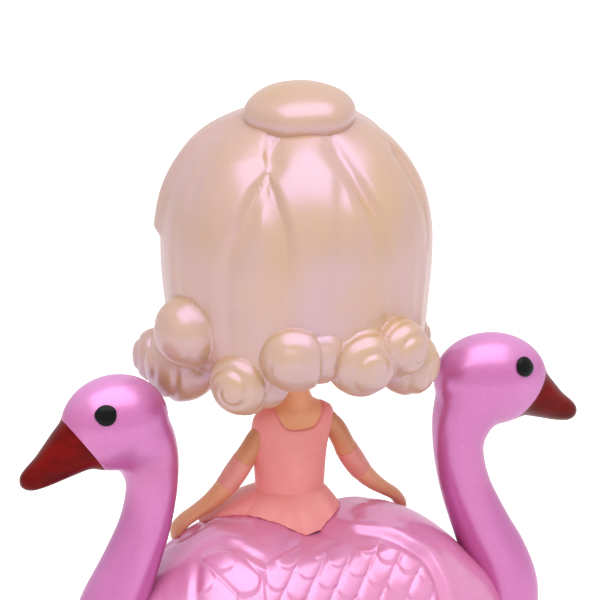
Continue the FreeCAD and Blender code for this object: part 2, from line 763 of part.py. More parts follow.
node("brake_disc", cut(
    cylinder("brake_radius", "0.8", "fan_x", "brake_back - 0.8", "fan_z", "Y"),
    cylinder("fan_pivot + 0.02", "3", "fan_x", "brake_back - 2", "fan_z", "Y")))
node("stop_rod", cylinder(
    "stop_radius", "stop_face + 2 - brake_back - stop_travel - 0.1",
    "stop_x", "brake_back + stop_travel + 0.1", "fan_z", "Y"))
node("stop_knob", cut(
    fuse(cylinder("stop_knob_radius", "4", "stop_x", "stop_face", "fan_z", "Y"),
         cylinder("stop_knob_radius - 0.6", "5", "stop_x", "stop_face", "fan_z", "Y")),
    cylinder("stop_radius + 0.02", "3", "stop_x", "stop_face - 1", "fan_z", "Y")))

# Swan bodies: hollow shells, back to back, parted at X = 0.
SWAN_RINGS = [
    # share of height, middle, half reach, half width
    (0.000, 23.0, 25.5, 21.5),
    (0.090, 24.3, 28.2, 24.2),
    (0.200, 24.4, 29.4, 25.2),
    (0.392, 21.5, 26.5, 25.0),
    (0.590, 19.6, 24.0, 23.0),
    (0.707, 17.6, 20.9, 20.6),
    (0.825, 16.4, 17.1, 16.8),
    (0.900, 17.0, 13.2, 13.2),
    (0.950, 17.5, 9.5, 9.7),
    (0.985, 18.0, 5.2, 5.4),
    (0.999, 18.1, 1.2, 1.3)]


def swan_form(side, inset, sink=0.0):
    """The full rounded back of one swan, drawn in by an inset."""
    foot = mm("table_top")
    tall = mm("swan_height")
    long = mm("swan_reach") / 54.0
    wide = mm("swan_width") / 50.0
    sections = []
    for share, middle, reach, width in SWAN_RINGS:
        half_x = max(reach * long - inset, 0.6)
        half_y = max(width * wide - inset, 0.6)
        z = foot + share * (tall - inset)
        sections.append(level_oval(side * middle * long, 0, z, half_x, half_y))
    if sink:
        lowest = [point - Vector(0, 0, sink) for point in sections[0]]
        sections.insert(0, lowest)
    return skin(sections)


def half_space(side, edge):
    start = edge if side > 0 else -200 - edge
    return Part.makeBox(200, 200, 200, Vector(start, -100, 0))


def swan_shell(side):
    outer = swan_form(side, 0).common(half_space(side, mm("parting_gap") / 2))
    inner = swan_form(side, mm("swan_wall"), 5).common(
        half_space(side, mm("parting_gap") / 2 + mm("swan_wall")))
    return outer.cut(inner)


def swan_block(gap):
    """Both backs grown by a gap, for seating other pieces on them."""
    return swan_form(1, -gap).fuse(swan_form(-1, -gap))


NECK_PATH = [
    # X, Z from the waist, radius
    (45.0, -42.0, 8.0),
    (48.6, -35.0, 8.8),
    (49.6, -28.0, 8.5),
    (47.4, -19.0, 7.6),
    (44.6, -13.0, 7.0),
    (42.2, -7.5, 6.5),
    (40.0, -2.0, 6.1),
    (38.4, 4.0, 5.9),
    (37.7, 10.0, 6.0),
    (38.6, 16.5, 7.0),
    (41.0, 21.5, 8.0),
    (43.5, 24.0, 8.4)]


def swan_point(side, x, z, y=0.0):
    grow = mm("neck_scale")
    return Vector(side * x * grow, y * grow, mm("waist") + z * grow)


def swan_head(side, grow=0.0):
    scale = mm("neck_scale")
    return ellipsoid(swan_point(side, 45.6, 24.8), 13.9 * scale + grow, 9.6 * scale + grow,
                     11.0 * scale + grow, side * 6)


def swan_neck(side):
    scale = mm("neck_scale")
    path = [(swan_point(side, x, z), radius * scale, radius * scale) for x, z, radius in NECK_PATH]
    form = limb(path).fuse(swan_head(side))
    seat = swan_form(side, -0.02)
    form = form.cut(seat)
    pockets = [swan_eye(side, flank, 0.03) for flank in (-1, 1)]
    return max(form.Solids, key=lambda piece: piece.Volume).cut(Part.makeCompound(pockets))


def swan_eye(side, flank, grow=0.0):
    ball = Part.makeSphere(mm("eye_radius") + grow)
    ball.translate(swan_point(side, 50.4, 28.4, flank * 7.2))
    return ball


def swan_beak(side):
    scale = mm("neck_scale")
    path = [((51.0, 22.5), 6.6, 7.2), ((55.2, 20.8), 6.3, 6.6), ((58.6, 18.6), 5.0, 5.6),
            ((62.0, 16.4), 3.7, 4.4), ((65.0, 14.9), 2.8, 3.4), ((66.8, 14.0), 1.9, 2.3),
            ((67.7, 13.5), 0.6, 0.8)]
    run = Vector(side * 0.86, 0, -0.51)
    across = Vector(0, 1, 0)
    upright = run.cross(across)
    sections = []
    for (x, z), tall, wide in path:
        sections.append(oval(swan_point(side, x, z), tall * scale, wide * scale, upright, across, 12))
    form = skin(sections).cut(swan_head(side, 0.02))
    return max(form.Solids, key=lambda piece: piece.CenterOfMass.x * side)


for side, name in ((1, "left"), (-1, "right")):
    node(f"swan_{name}_body", solid(swan_shell(side)))
    node(f"swan_{name}_neck", solid(swan_neck(side)))
    node(f"swan_{name}_beak", solid(swan_beak(side)))
    node(f"swan_{name}_eyes", solid(Part.makeCompound([swan_eye(side, -1), swan_eye(side, 1)])))

# Ballerina: torso with neck, skirt, legs and slippers, two arms, head, hair and bun.
seat = swan_block(0.05)
waist = mm("waist")
doll_y = -mm("doll_setback")


def doll_ring(z, reach_x, reach_y, shift=0.0):
    return level_oval(0, doll_y + shift, waist + z, reach_x, reach_y)


SHOULDER = (10.2, 0.6, 18.2)


def shoulder_point(side):
    grow = mm("shoulder_width") / 18.4
    return Vector(side * SHOULDER[0] * grow, doll_y + SHOULDER[1], waist + SHOULDER[2])


def torso():
    hips = mm("waist_width") / 14.2
    wide = mm("shoulder_width") / 18.4
    neck = mm("doll_neck_radius")
    form = skin([
        doll_ring(-11.0, 6.0 * hips, 5.0), doll_ring(-6.0, 8.0 * hips, 6.6),
        doll_ring(-3.0, 7.9 * hips, 6.4), doll_ring(0.0, 7.1 * hips, 5.6),
        doll_ring(4.0, 7.6 * hips, 5.8), doll_ring(9.0, 8.7 * wide, 6.3),
        doll_ring(14.0, 9.2 * wide, 6.2), doll_ring(18.0, 9.0 * wide, 5.4),
        doll_ring(20.6, 7.6 * wide, 4.6), doll_ring(22.2, 5.0 * wide, 3.9),
        doll_ring(24.0, neck + 0.2, neck + 0.1)])
    stem = Part.makeCylinder(neck, 12.0, Vector(0, doll_y, waist + 22.5))
    peg = Part.makeCylinder(neck * 0.62, 7.0, Vector(0, doll_y, waist + 34.0))
    form = form.multiFuse([stem, peg]).cut(seat)
    for side in (-1, 1):
        center = shoulder_point(side)
        socket = Part.makeSphere(mm("arm_radius") * 1.12 + mm("joint_gap"))
        socket.translate(center)
        armhole = Part.makeCylinder(
            7.0, 12.0, Vector(center.x - side * 1.4, center.y, center.z), Vector(side, 0, 0))
        form = form.cut(socket).cut(armhole)
        pin = Part.makeCylinder(0.9, 6.2, Vector(side * 4.0, center.y, center.z), Vector(side, 0, 0))
        form = form.fuse(pin)
    return max(form.Solids, key=lambda piece: piece.Volume)


def arm(side):
    thick = mm("arm_radius")
    start = shoulder_point(side)
    offsets = [((0.3, 0.0, -0.4), 1.0, 1.0), ((2.6, -0.2, -3.9), 1.02, 1.02),
               ((5.0, -0.6, -8.0), 0.98, 0.98), ((7.2, -1.1, -11.6), 0.94, 0.94),
               ((10.6, -2.2, -15.6), 0.88, 0.88), ((13.4, -3.2, -18.6), 0.72, 0.76),
               ((15.4, -3.8, -20.8), 0.60, 0.92), ((17.0, -4.1, -22.6), 0.50, 0.94),
               ((18.6, -4.3, -24.4), 0.36, 0.66), ((19.6, -4.4, -25.4), 0.12, 0.2)]
    path = [(start + Vector(side * dx, dy, dz), thick * across, thick * wide)
            for (dx, dy, dz), across, wide in offsets]
    ball = Part.makeSphere(thick * 1.12, start)
    outwards = Vector(side, 0, 0)
    bore = Part.makeCylinder(
        0.9 + mm("running_gap"), 9.0, Vector(side * 4.0, start.y, start.z), outwards)
    form = limb(path).fuse(ball).cut(bore).cut(swan_block(mm("joint_gap")))
    return max(form.Solids, key=lambda piece: piece.Volume)


def legs():
    thick = mm("leg_radius")
    pair = []
    for side in (-1, 1):
        path = [(Vector(side * 3.6, doll_y - 4.0, waist - 9.0), thick, thick),
                (Vector(side * 4.0, doll_y - 12.0, waist - 9.6), thick * 1.02, thick * 1.02),
                (Vector(side * 4.2, doll_y - 19.5, waist - 10.6), thick * 0.98, thick * 0.98),
                (Vector(side * 4.2, doll_y - 23.6, waist - 14.4), thick * 0.92, thick * 0.92),
                (Vector(side * 4.0, doll_y - 24.2, waist - 21.0), thick * 0.90, thick * 0.90),
                (Vector(side * 3.7, doll_y - 24.0, waist - 29.0), thick * 0.78, thick * 0.78),
                (Vector(side * 3.4, doll_y - 24.0, waist - 35.0), thick * 0.66, thick * 0.66)]
        form = limb(path).cut(seat).cut(nodes["doll_torso"].Shape)
        pair.append(max(form.Solids, key=lambda piece: piece.Volume))
    return Part.makeCompound(pair)


def slippers():
    pair = []
    for side in (-1, 1):
        shoe = skin([level_oval(side * 3.4, doll_y - 24.0, waist - 35.0 - drop, x, y)
                     for drop, x, y in ((0.02, 2.2, 2.3), (2.5, 2.5, 2.7), (5.0, 2.4, 2.6), (7.5, 1.8, 2.0),
                                        (9.0, 0.8, 0.9))])
        pair.append(shoe.cut(nodes["doll_legs"].Shape))
    return Part.makeCompound(pair)


def skirt():
    sheet = mm("skirt_sheet")
    hips = mm("waist_width") / 14.2
    wide = mm("skirt_width") / 36.0
    profile = [(0.8, 7.1, 5.6, 0.0), (-1.0, 8.6, 7.0, -0.4), (-3.0, 12.0, 10.2, -2.2),
               (-5.4, 15.6, 13.6, -4.6), (-8.0, 18.0, 16.0, -6.6)]
    outer, inner = (skin([doll_ring(z, max(x * wide, 7.1 * hips) + grow, y + grow, shift)
                          for z, x, y, shift in profile]) for grow in (sheet, 0.15))
    form = outer.cut(inner).cut(seat).cut(nodes["doll_torso"].Shape)
    return max(form.Solids, key=lambda piece: piece.Volume)


node("doll_torso", solid(torso()))
node("doll_arm_left", solid(arm(1)))
node("doll_arm_right", solid(arm(-1)))
node("doll_legs", solid(legs()))
node("doll_slippers", solid(slippers()))
node("doll_skirt", solid(skirt()))


def tail_feather(flank, peak):
    """An almond feather over the seam between the swans, on one flank."""
    lean = 0.24 * flank
    outline = [(0.0, peak), (4.6, peak - 8.0), (7.8, peak - 18.0), (7.6, -42.0), (5.0, -49.8)]
    sides = []
    for sign in (-1, 1):
        points = [Vector(sign * x + lean * (peak - z) + flank, 0, waist + z) for x, z in outline]
        curve = Part.BSplineCurve()
        curve.interpolate(points)
        sides.append((curve.toShape(), points[-1]))
    foot = Part.makeLine(sides[0][1], sides[1][1])
    face = Part.Face(Part.Wire(Part.__sortEdges__([sides[0][0], foot, sides[1][0]])))
    prism = face.extrude(Vector(0, flank * 40.0, 0))
    prism.translate(Vector(0, flank * 4.0, 0))
    dome = ellipsoid(Vector(0, 0, waist - 38.0), 48.0, mm("swan_width") * 0.5, 30.0)
    floor = Part.makeBox(60, 80, 20, Vector(-30, -40, mm("table_top") - 20))
    form = prism.common(dome)
    for tool in (seat, floor, nodes["doll_skirt"].Shape, nodes["doll_torso"].Shape):
        form = form.cut(tool)
    return max(form.Solids, key=lambda piece: piece.Volume)


node("tail_feathers", solid(Part.makeCompound([tail_feather(1, -9.5), tail_feather(-1, -17.0)])))


def head_form(grow=0.0):
    reach = mm("head_radius")
    return Part.makeSphere(reach + grow, Vector(0, doll_y, waist + 33.2 + reach))


def head():
    bore = Part.makeCylinder(mm("doll_neck_radius") * 0.62 + 0.05, 12.0, Vector(0, doll_y, waist + 30.0))
    way = Part.makeCylinder(mm("doll_neck_radius") + 0.05, 8.0, Vector(0, doll_y, waist + 26.55))
    return head_form().cut(head_form(-mm("head_wall"))).cut(bore).cut(way)


HAIR_RINGS = [
    # height from the waist, radius
    (92.6, 0.0), (91.7, 7.8), (89.0, 15.2), (84.6, 21.7), (79.2, 26.2), (73.4, 29.2),
    (66.0, 30.8), (57.0, 30.9), (48.0, 30.2), (42.0, 29.6), (37.5, 28.6), (35.0, 26.6)]
CURLS = [
    # angle from the back, distance, height, radius
    (-88.0, 26.5, 42.6, 7.7), (-104.0, 29.6, 33.8, 8.6), (-45.0, 26.5, 34.6, 7.0), (-22.7, 27.0, 41.6, 8.1),
    (12.5, 27.0, 40.0, 7.4), (41.6, 26.5, 41.5, 6.3), (50.0, 28.0, 36.4, 6.8), (86.0, 27.0, 37.5, 6.6),
    (112.0, 27.0, 38.5, 7.2), (-68.0, 27.0, 35.0, 6.6)]


def hair_spot(angle, reach, height):
    """A spot on the hair, its angle counted from the back towards the left hand."""
    turn = math.radians(angle)
    grow = mm("hair_radius") / 31.0
    return Vector(-math.sin(turn) * reach * grow, doll_y + math.cos(turn) * reach * grow, waist + height)


def hair_dome(grow=0.0):
    """The round of the hair, grown about the brow and less at the crown."""
    share = mm("hair_radius") / 31.0
    crown = HAIR_RINGS[0][0]
    profile = []
    for z, radius in HAIR_RINGS:
        fade = min(1.0, (crown - z) / (crown - 68.0))
        lift = 0.4 * grow * (1.0 - fade)
        swell = grow * (0.3 + 0.7 * fade) if radius else 0.0
        profile.append((z + lift, radius * share + swell))
    return spun(Vector(0, doll_y, waist), profile)


def hair():
    curls = []
    for angle, reach, height, radius in CURLS:
        spot = hair_spot(angle, reach, height)
        outwards = Vector(spot.x, spot.y - doll_y, 0)
        curls.append(Part.makeSphere(radius, spot, outwards))
    brow = waist + 63.5
    fringe = hair_dome(1.8).common(Part.makeBox(120, 60, 60, Vector(-60, doll_y - 66.0, brow)))
    form = hair_dome().multiFuse(curls + [fringe])
    reach = mm("hair_radius")
    throat = Part.makeCone(reach * 0.66, reach * 0.8, 36.0, Vector(0, doll_y, waist + 10.0))
    face = Part.makeCylinder(20.5, 60.0, Vector(0, doll_y - 70.0, waist + 46.0), Vector(0, 1, 0))
    face = face.cut(Part.makeBox(120, 120, 60, Vector(-60, doll_y - 100.0, brow)))
    for tool in (head_form(0.05), throat, face, bun_form(0.02)):
        form = form.cut(tool)
    return max(form.Solids, key=lambda piece: piece.Volume)


def bun_form(grow=0.0):
    reach = mm("bun_radius") + grow
    tall = mm("bun_radius") * 0.555 + grow
    profile = [(tall * math.cos(math.radians(step * 15)), reach * math.sin(math.radians(step * 15)))
               for step in range(13)]
    profile[0] = (tall, 0.0)
    profile[-1] = (-tall, 0.0)
    return spun(Vector(0, doll_y + 2.3, waist + 91.4), profile)


node("doll_head", solid(head()))
node("doll_hair", solid(hair()))
node("doll_bun", solid(bun_form().cut(head_form(0.05))))

doc.recompute()
for thing in doc.Objects:
    if "Invalid" in thing.State or "Error" in thing.State:
        raise RuntimeError(f"{thing.Label} did not compute")
os.makedirs("parts", exist_ok=True)
for label, thing in nodes.items():
    if thing.Shape.isNull() or not thing.Shape.isValid():
        raise RuntimeError(f"{label} has no valid shape")
    thing.Shape.exportStep(f"parts/{label}.step")
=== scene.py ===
# Ballerina jewellery box: a round drum with a drawer and a musical movement, and on its
# turntable two pearl pink swans back to back with a small ballerina seated between them.
import json
import math

import bmesh
import bpy
import numpy as np
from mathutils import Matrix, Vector

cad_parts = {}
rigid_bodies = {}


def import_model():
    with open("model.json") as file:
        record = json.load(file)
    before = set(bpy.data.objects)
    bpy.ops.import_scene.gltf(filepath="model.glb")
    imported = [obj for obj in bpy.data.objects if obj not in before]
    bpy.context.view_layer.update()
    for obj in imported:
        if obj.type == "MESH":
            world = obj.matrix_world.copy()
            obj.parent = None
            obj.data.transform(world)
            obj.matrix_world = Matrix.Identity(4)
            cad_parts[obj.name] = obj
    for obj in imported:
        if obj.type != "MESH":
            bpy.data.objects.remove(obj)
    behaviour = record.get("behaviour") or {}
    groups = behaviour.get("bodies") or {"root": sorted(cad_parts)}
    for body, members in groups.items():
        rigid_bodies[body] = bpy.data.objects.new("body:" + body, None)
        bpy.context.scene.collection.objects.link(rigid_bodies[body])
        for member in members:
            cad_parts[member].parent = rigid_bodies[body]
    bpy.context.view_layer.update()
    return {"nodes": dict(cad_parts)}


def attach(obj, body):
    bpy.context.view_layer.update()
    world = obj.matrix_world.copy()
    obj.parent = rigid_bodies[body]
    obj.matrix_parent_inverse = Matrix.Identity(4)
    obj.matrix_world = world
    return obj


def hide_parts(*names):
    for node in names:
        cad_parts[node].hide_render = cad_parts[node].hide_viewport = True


for leftover in list(bpy.data.objects):
    bpy.data.objects.remove(leftover)
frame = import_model()
scene = bpy.context.scene
scene.view_settings.view_transform = "Standard"

# Felt pad: a disc of pressed rose-grey wool glued under the plinth, so that the box does not
# scratch a shelf. Its cut edge is soft and a little hairy.


def hue(red, green, blue):
    """A colour as the eye sees it, 0 to 255, turned into light."""
    return tuple(((c / 255 + 0.055) / 1.055) ** 2.4 if c > 10 else c / 3294.6
                 for c in (red, green, blue)) + (1.0,)


class Tap:
    """An output in a tree of nodes. Sums on it add Math nodes to the same tree."""

    def __init__(self, socket):
        self.socket = socket

    def sum(self, operation, *values):
        tree = self.socket.id_data
        step = tree.nodes.new("ShaderNodeMath")
        step.operation = operation
        for entry, value in zip(step.inputs, values):
            if isinstance(value, Tap):
                tree.links.new(value.socket, entry)
            else:
                entry.default_value = value
        return Tap(step.outputs[0])

    def __add__(self, other):
        return self.sum("ADD", self, other)

    def __radd__(self, other):
        return self.sum("ADD", other, self)

    def __sub__(self, other):
        return self.sum("SUBTRACT", self, other)

    def __rsub__(self, other):
        return self.sum("SUBTRACT", other, self)

    def __mul__(self, other):
        return self.sum("MULTIPLY", self, other)

    def __rmul__(self, other):
        return self.sum("MULTIPLY", other, self)


class Board:
    """A tree of nodes, for a finish or for a repeated shape, filled one node at a time."""

    def __init__(self, tree):
        self.tree = tree
        tree.nodes.clear()

    def node(self, kind, settings=None, sockets=None, out=0):
        part = self.tree.nodes.new(kind)
        for name, value in (settings or {}).items():
            setattr(part, name, value)
        for name, value in (sockets or {}).items():
            if isinstance(value, Tap):
                self.tree.links.new(value.socket, part.inputs[name])
            else:
                part.inputs[name].default_value = value
        return Tap(part.outputs[out]) if len(part.outputs) else None


class Finish(Board):
    """A paint, a cloth or a metal."""

    def __init__(self, name):
        self.material = bpy.data.materials.new(name)
        self.material.use_nodes = True
        super().__init__(self.material.node_tree)
        self.place = self.node("ShaderNodeTexCoord", out="Object")

    def noise(self, scale, detail=2.0, rough=0.5, where=None):
        return self.node("ShaderNodeTexNoise", None, {
            "Vector": where or self.place, "Scale": scale, "Detail": detail, "Roughness": rough})

    def cells(self, scale, out):
        return self.node("ShaderNodeTexVoronoi", None, {"Vector": self.place, "Scale": scale}, out)

    def span(self, value, low, high):
        return self.node("ShaderNodeMapRange", {"interpolation_type": "SMOOTHSTEP"},
                         {"Value": value, "From Min": low, "From Max": high})

    def tint(self, share, first, second):
        return self.node("ShaderNodeMix", {"data_type": "RGBA"}, {0: share, 6: first, 7: second}, 2)

    def mottled(self, scale, first, second):
        """Slow noise, and a colour that goes with it from one tint to another."""
        slow = self.noise(scale, 3, 0.6)
        return slow, self.tint(self.span(slow, 0.3, 0.75), first, second)

    def surface(self, colour, rough, height=None, depth=0.0, **fixed):
        sockets = {"Base Color": colour, "Roughness": rough}
        if height is not None:
            sockets["Normal"] = self.node("ShaderNodeBump", None, {"Height": height, "Distance": depth})
        for name, value in fixed.items():
            sockets[name.replace("_", " ")] = value
        shader = self.node("ShaderNodeBsdfPrincipled", None, sockets)
        self.node("ShaderNodeOutputMaterial", None, {"Surface": shader})
        return self.material


def skinned(rings, start=True, end=True):
    """Points and faces over closed rings of points, the ends closed with fans."""
    count, around = rings.shape[:2]
    points = rings.reshape(-1, 3)
    row = np.arange(count - 1)[:, None] * around
    here = np.arange(around)[None, :]
    there = (here + 1) % around
    faces = np.stack([row + here, row + there, row + around + there, row + around + here], -1)
    faces = faces.reshape(-1, 4).tolist()
    extra = []
    for wanted, first in ((start, 0), (end, (count - 1) * around)):
        if wanted:
            middle = len(points) + len(extra)
            extra.append(points[first:first + around].mean(0))
            for j in range(around):
                faces.append([first + j, first + (j + 1) % around, middle])
    if extra:
        points = np.vstack([points, extra])
    return points, faces


def full_turn(count):
    """Even steps of angle once round."""
    return np.linspace(0, 2 * math.pi, count, endpoint=False)


def turned(profile, sides=192):
    """Rings about an upright axis from (radius, height) points in millimetres."""
    turn = full_turn(sides)
    rings = [np.stack([r * np.cos(turn), r * np.sin(turn), np.full(sides, z)], 1) for r, z in profile]
    return skinned(np.array(rings))


def eased(outline, reach, steps=5):
    """An outline with its inner corners rounded off."""
    outline = [np.array(point, float) for point in outline]
    soft = [outline[0]]
    for before, corner, after in zip(outline, outline[1:], outline[2:]):
        first = before - corner
        second = after - corner
        trim = min(reach, 0.45 * np.linalg.norm(first), 0.45 * np.linalg.norm(second))
        first = corner + first / np.linalg.norm(first) * trim
        second = corner + second / np.linalg.norm(second) * trim
        for t in np.linspace(0, 1, steps):
            soft.append((1 - t) ** 2 * first + 2 * t * (1 - t) * corner + t ** 2 * second)
    return soft + [outline[-1]]


def meshed(name, form, merge):
    """A mesh from points in millimetres and faces, with points closer than merge made one."""
    points, faces = form
    mesh = bpy.data.meshes.new(name)
    mesh.from_pydata((np.asarray(points) * 0.001).tolist(), [], faces)
    draft = bmesh.new()
    draft.from_mesh(mesh)
    bmesh.ops.remove_doubles(draft, verts=draft.verts, dist=merge)
    bmesh.ops.recalc_face_normals(draft, faces=draft.faces)
    draft.to_mesh(mesh)
    draft.free()
    return mesh


def piece(name, form, finish, body, nodes=(), crease=38.0):
    """A finished piece from points in millimetres and faces, riding on a body."""
    return placed(name, meshed(name, form, 1e-6), finish, body, nodes, crease)


def placed(name, mesh, finish, body, nodes=(), crease=38.0):
    """A mesh made into a piece of the box."""
    mesh.name = name
    mesh.shade_smooth()
    mesh.set_sharp_from_angle(angle=math.radians(crease))
    mesh.materials.clear()
    mesh.materials.append(finish)
    thing = bpy.data.objects.new(name, mesh)
    scene.collection.objects.link(thing)
    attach(thing, body)
    if nodes:
        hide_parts(*nodes)
    return thing


wool = Finish("rose_felt")
fibres = wool.noise(1400, 4, 0.7)
clumps = wool.noise(160, 3)
felt = wool.surface(
    wool.tint(fibres * 0.7 + clumps * 0.3, hue(150, 112, 118), hue(206, 172, 174)),
    0.94, fibres, 0.00035, Sheen_Weight=0.4, Sheen_Roughness=0.5, Specular_IOR_Level=0.2)
piece("felt_disc", turned(eased([(0, 0), (59.5, 0), (59.5, 2.0), (0, 2.0)], 0.7)),
      felt, "base", ["felt_pad"])

# Plinth: a turned ring of moulded resin under the drum, sprayed rose pearl, with a cove
# and a small step running into the drum. Four screws hold it from below.


def pearl(name, deep, body, bloom, patch, light, gloss, patch_share=0.4, depth=1.75, painted_top_light=0.0):
    """Pearl lacquer: deeper at the edges, a bloom face on, slow patches of a second tint, and
    flakes of mica whose light has a tint of its own. The same tint is laid on upward faces as a painted
    highlight."""
    paint = Finish(name)
    facing = paint.node("ShaderNodeLayerWeight", None, {"Blend": 0.42}, "Facing")
    colour = paint.tint(paint.span(facing, 0.0, 0.55), bloom, body)
    colour = paint.tint(paint.span(facing, 0.45, 1.0) * 0.6, colour, deep)
    fall = paint.node("ShaderNodeMapping", None, {"Vector": paint.place, "Scale": (1.0, 1.0, 0.6)})
    drift = paint.noise(38, 3, 0.6, fall)
    colour = paint.tint(paint.span(drift, 0.46, 0.66) * patch_share, colour, patch)
    haze = paint.noise(52, 2, 0.5, fall)
    colour = paint.tint(paint.span(haze, 0.5, 0.7) * 0.1, colour, light)
    upward = paint.node("ShaderNodeNewGeometry", None, {}, "Normal")
    upward = paint.node("ShaderNodeSeparateXYZ", None, {"Vector": upward}, "Z")
    # painted highlight: faces that point up take on the light tint, as where the overhead lamp falls
    colour = paint.tint(paint.span(upward, 0.3, 1.0) * painted_top_light, colour, light)
    flake = paint.cells(2600, "Color")
    flake = paint.node("ShaderNodeSeparateColor", None, {"Color": flake})
    colour = paint.tint(flake * 0.035, colour, hue(255, 255, 255))
    peel = paint.noise(520, 2)
    return paint.surface(colour, gloss, peel, 0.000005, IOR=depth, Specular_IOR_Level=1.0,
                         Specular_Tint=light, Coat_Weight=0.02 + drift * 0.08, Coat_Roughness=0.25)


rose = pearl("rose_pearl", hue(176, 84, 124), hue(206, 128, 160), hue(216, 148, 178),
             hue(222, 160, 164), hue(255, 206, 236), 0.3)
plinth_edge = eased([(0, 2.02), (61.0, 2.02), (62.0, 2.6), (62.0, 4.0), (61.3, 4.4), (61.2, 5.2),
                     (60.7, 6.0), (0, 6.0)], 0.35)
piece("plinth_ring", turned(plinth_edge, 240), rose, "base", ["plinth"])

# Drum: a moulded ivory shell with two raised beads, a deck on top, and openings for the
# drawer, the key and the stop. It is sprayed ivory pearl.
ivory = pearl("ivory_pearl", hue(186, 156, 128), hue(206, 178, 150), hue(212, 186, 164),
              hue(212, 182, 130), hue(255, 208, 246), 0.34)


def finished(node, finish):
    """A solid of the frame whose shape is right keeps its mesh and gets its finish."""
    thing = frame["nodes"][node]
    thing.data.materials.clear()
    thing.data.materials.append(finish)


finished("drum", ivory)

# Drum garland: a row of small pearls set round the wall between the beads, each pearl a
# turned ball pressed into the resin. The row runs all round, above the drawer.


class Recipe(Board):
    """A repeated shape: a tree of geometry nodes with named sizes, made into a plain mesh."""

    def __init__(self, name):
        super().__init__(bpy.data.node_groups.new(name, "GeometryNodeTree"))
        self.tree.interface.new_socket("Geometry", in_out="OUTPUT", socket_type="NodeSocketGeometry")
        self.values = {}

    def size(self, name, value, kind="NodeSocketFloat"):
        entry = self.tree.interface.new_socket(name, in_out="INPUT", socket_type=kind)
        self.values[entry.identifier] = value

    def made(self):
        """The plain mesh that the tree makes, which has to end in Set Material."""
        blank = bpy.data.objects.new("blank", bpy.data.meshes.new("blank"))
        scene.collection.objects.link(blank)
        step = blank.modifiers.new("recipe", "NODES")
        step.node_group = self.tree
        for identifier, value in self.values.items():
            step[identifier] = value
        bpy.context.view_layer.update()
        result = bpy.data.meshes.new_from_object(blank.evaluated_get(bpy.context.evaluated_depsgraph_get()))
        blank.modifiers.remove(step)
        bpy.data.objects.remove(blank)
        return result


def pearl_row(name, count, reach, height, pearl_size, finish):
    """A closed ring of pearls about the drum's axis."""
    row = Recipe(name)
    row.size("Pearls", count, "NodeSocketInt")
    for label, value in (("Reach", reach * 0.001), ("Pearl", pearl_size * 0.001),
                         ("Sweep", 2 * math.pi * (count - 1) / count), ("Height", height * 0.001)):
        row.size(label, value)
    given = row.tree.nodes.new("NodeGroupInput")
    take = {socket.name: Tap(socket) for socket in given.outputs}
    arc = row.node("GeometryNodeCurveArc", {"mode": "RADIUS"}, {
        "Resolution": take["Pearls"], "Radius": take["Reach"], "Start Angle": 0.0,
        "Sweep Angle": take["Sweep"]})
    lift = row.node("ShaderNodeCombineXYZ", None, {"Z": take["Height"]})
    path = row.node("GeometryNodeTransform", None, {"Geometry": arc, "Translation": lift})
    spots = row.node("GeometryNodeCurveToPoints", {"mode": "EVALUATED"}, {"Curve": path})
    ball = row.node("GeometryNodeMeshIcoSphere", None, {"Radius": take["Pearl"], "Subdivisions": 3})
    balls = row.node("GeometryNodeInstanceOnPoints", None, {"Points": spots, "Instance": ball})
    solid = row.node("GeometryNodeRealizeInstances", None, {"Geometry": balls})
    smooth = row.node("GeometryNodeSetShadeSmooth", None, {"Geometry": solid})
    coloured = row.node("GeometryNodeSetMaterial", None, {"Geometry": smooth, "Material": finish})
    row.node("NodeGroupOutput", None, {"Geometry": coloured})
    return row.made()


bead_pearl = pearl("bead_pearl", hue(196, 168, 150), hue(222, 206, 192), hue(230, 218, 208),
                   hue(226, 200, 198), hue(255, 224, 246), 0.2)
placed("drum_garland", pearl_row("drum_garland", 112, 59.9, 41.6, 1.15, bead_pearl),
       bead_pearl, "base", crease=180)

# Movement: two brass plates on pillars, with a spring barrel, a pinned cylinder, a steel
# comb and a fan to hold the speed. It stays in raw metal inside the drum.


def metal(name, dark, bright, rough, streak=900, scratch=0.00002):
    """Bare metal, brushed one way and a little darker where it has been handled."""
    bar = Finish(name)
    turn = bar.node("ShaderNodeMapping", None, {"Vector": bar.place, "Scale": (1.0, 0.08, 0.25)})
    lines = bar.noise(streak, 3, 0.6, turn)
    stain = bar.noise(70, 3, 0.6)
    colour = bar.tint(bar.span(stain, 0.35, 0.7), bright, dark)
    rough = rough + (lines - 0.5) * 0.16 + (stain - 0.5) * 0.1
    return bar.surface(colour, rough, lines, scratch, Metallic=1.0)


def flecked(name, scale, detail, dark, light, rough, spread, **fixed):
    """A plain moulded or printed colour, faintly uneven in tint and gloss."""
    paint = Finish(name)
    fleck = paint.noise(scale, detail)
    return paint.surface(paint.tint(fleck, dark, light), rough + fleck * spread, fleck, 0.00001, **fixed)


brass = metal("brushed_brass", hue(176, 128, 58), hue(226, 186, 108), 0.3)
steel = metal("bright_steel", hue(128, 130, 134), hue(196, 198, 202), 0.26)
iron = metal("comb_steel", hue(84, 86, 92), hue(142, 144, 150), 0.34)
fan_resin = flecked("fan_resin", 600, 3, hue(226, 222, 208), hue(244, 242, 234), 0.4, 0.1)
for node in ("deck_bush", "movement_front_plate", "movement_rear_plate", "movement_pillars", "key_bush",
             "great_wheel", "barrel_drum", "barrel_cover", "driver_gear", "crown_wheel", "music_cylinder",
             "cylinder_wheel", "brake_disc"):
    finished(node, brass)
for node in ("plinth_screws", "movement_screws", "comb_screws", "spindle", "spindle_screw", "mainspring",
             "winding_arbor", "ratchet_wheel", "cylinder_arbor", "music_pins", "cylinder_pinion",
             "fan_arbor", "fan_pinion", "stop_rod"):
    finished(node, steel)
for node in ("comb", "comb_bed"):
    finished(node, iron)
finished("fan_blades", fan_resin)
finished("drawer_runners", fan_resin)

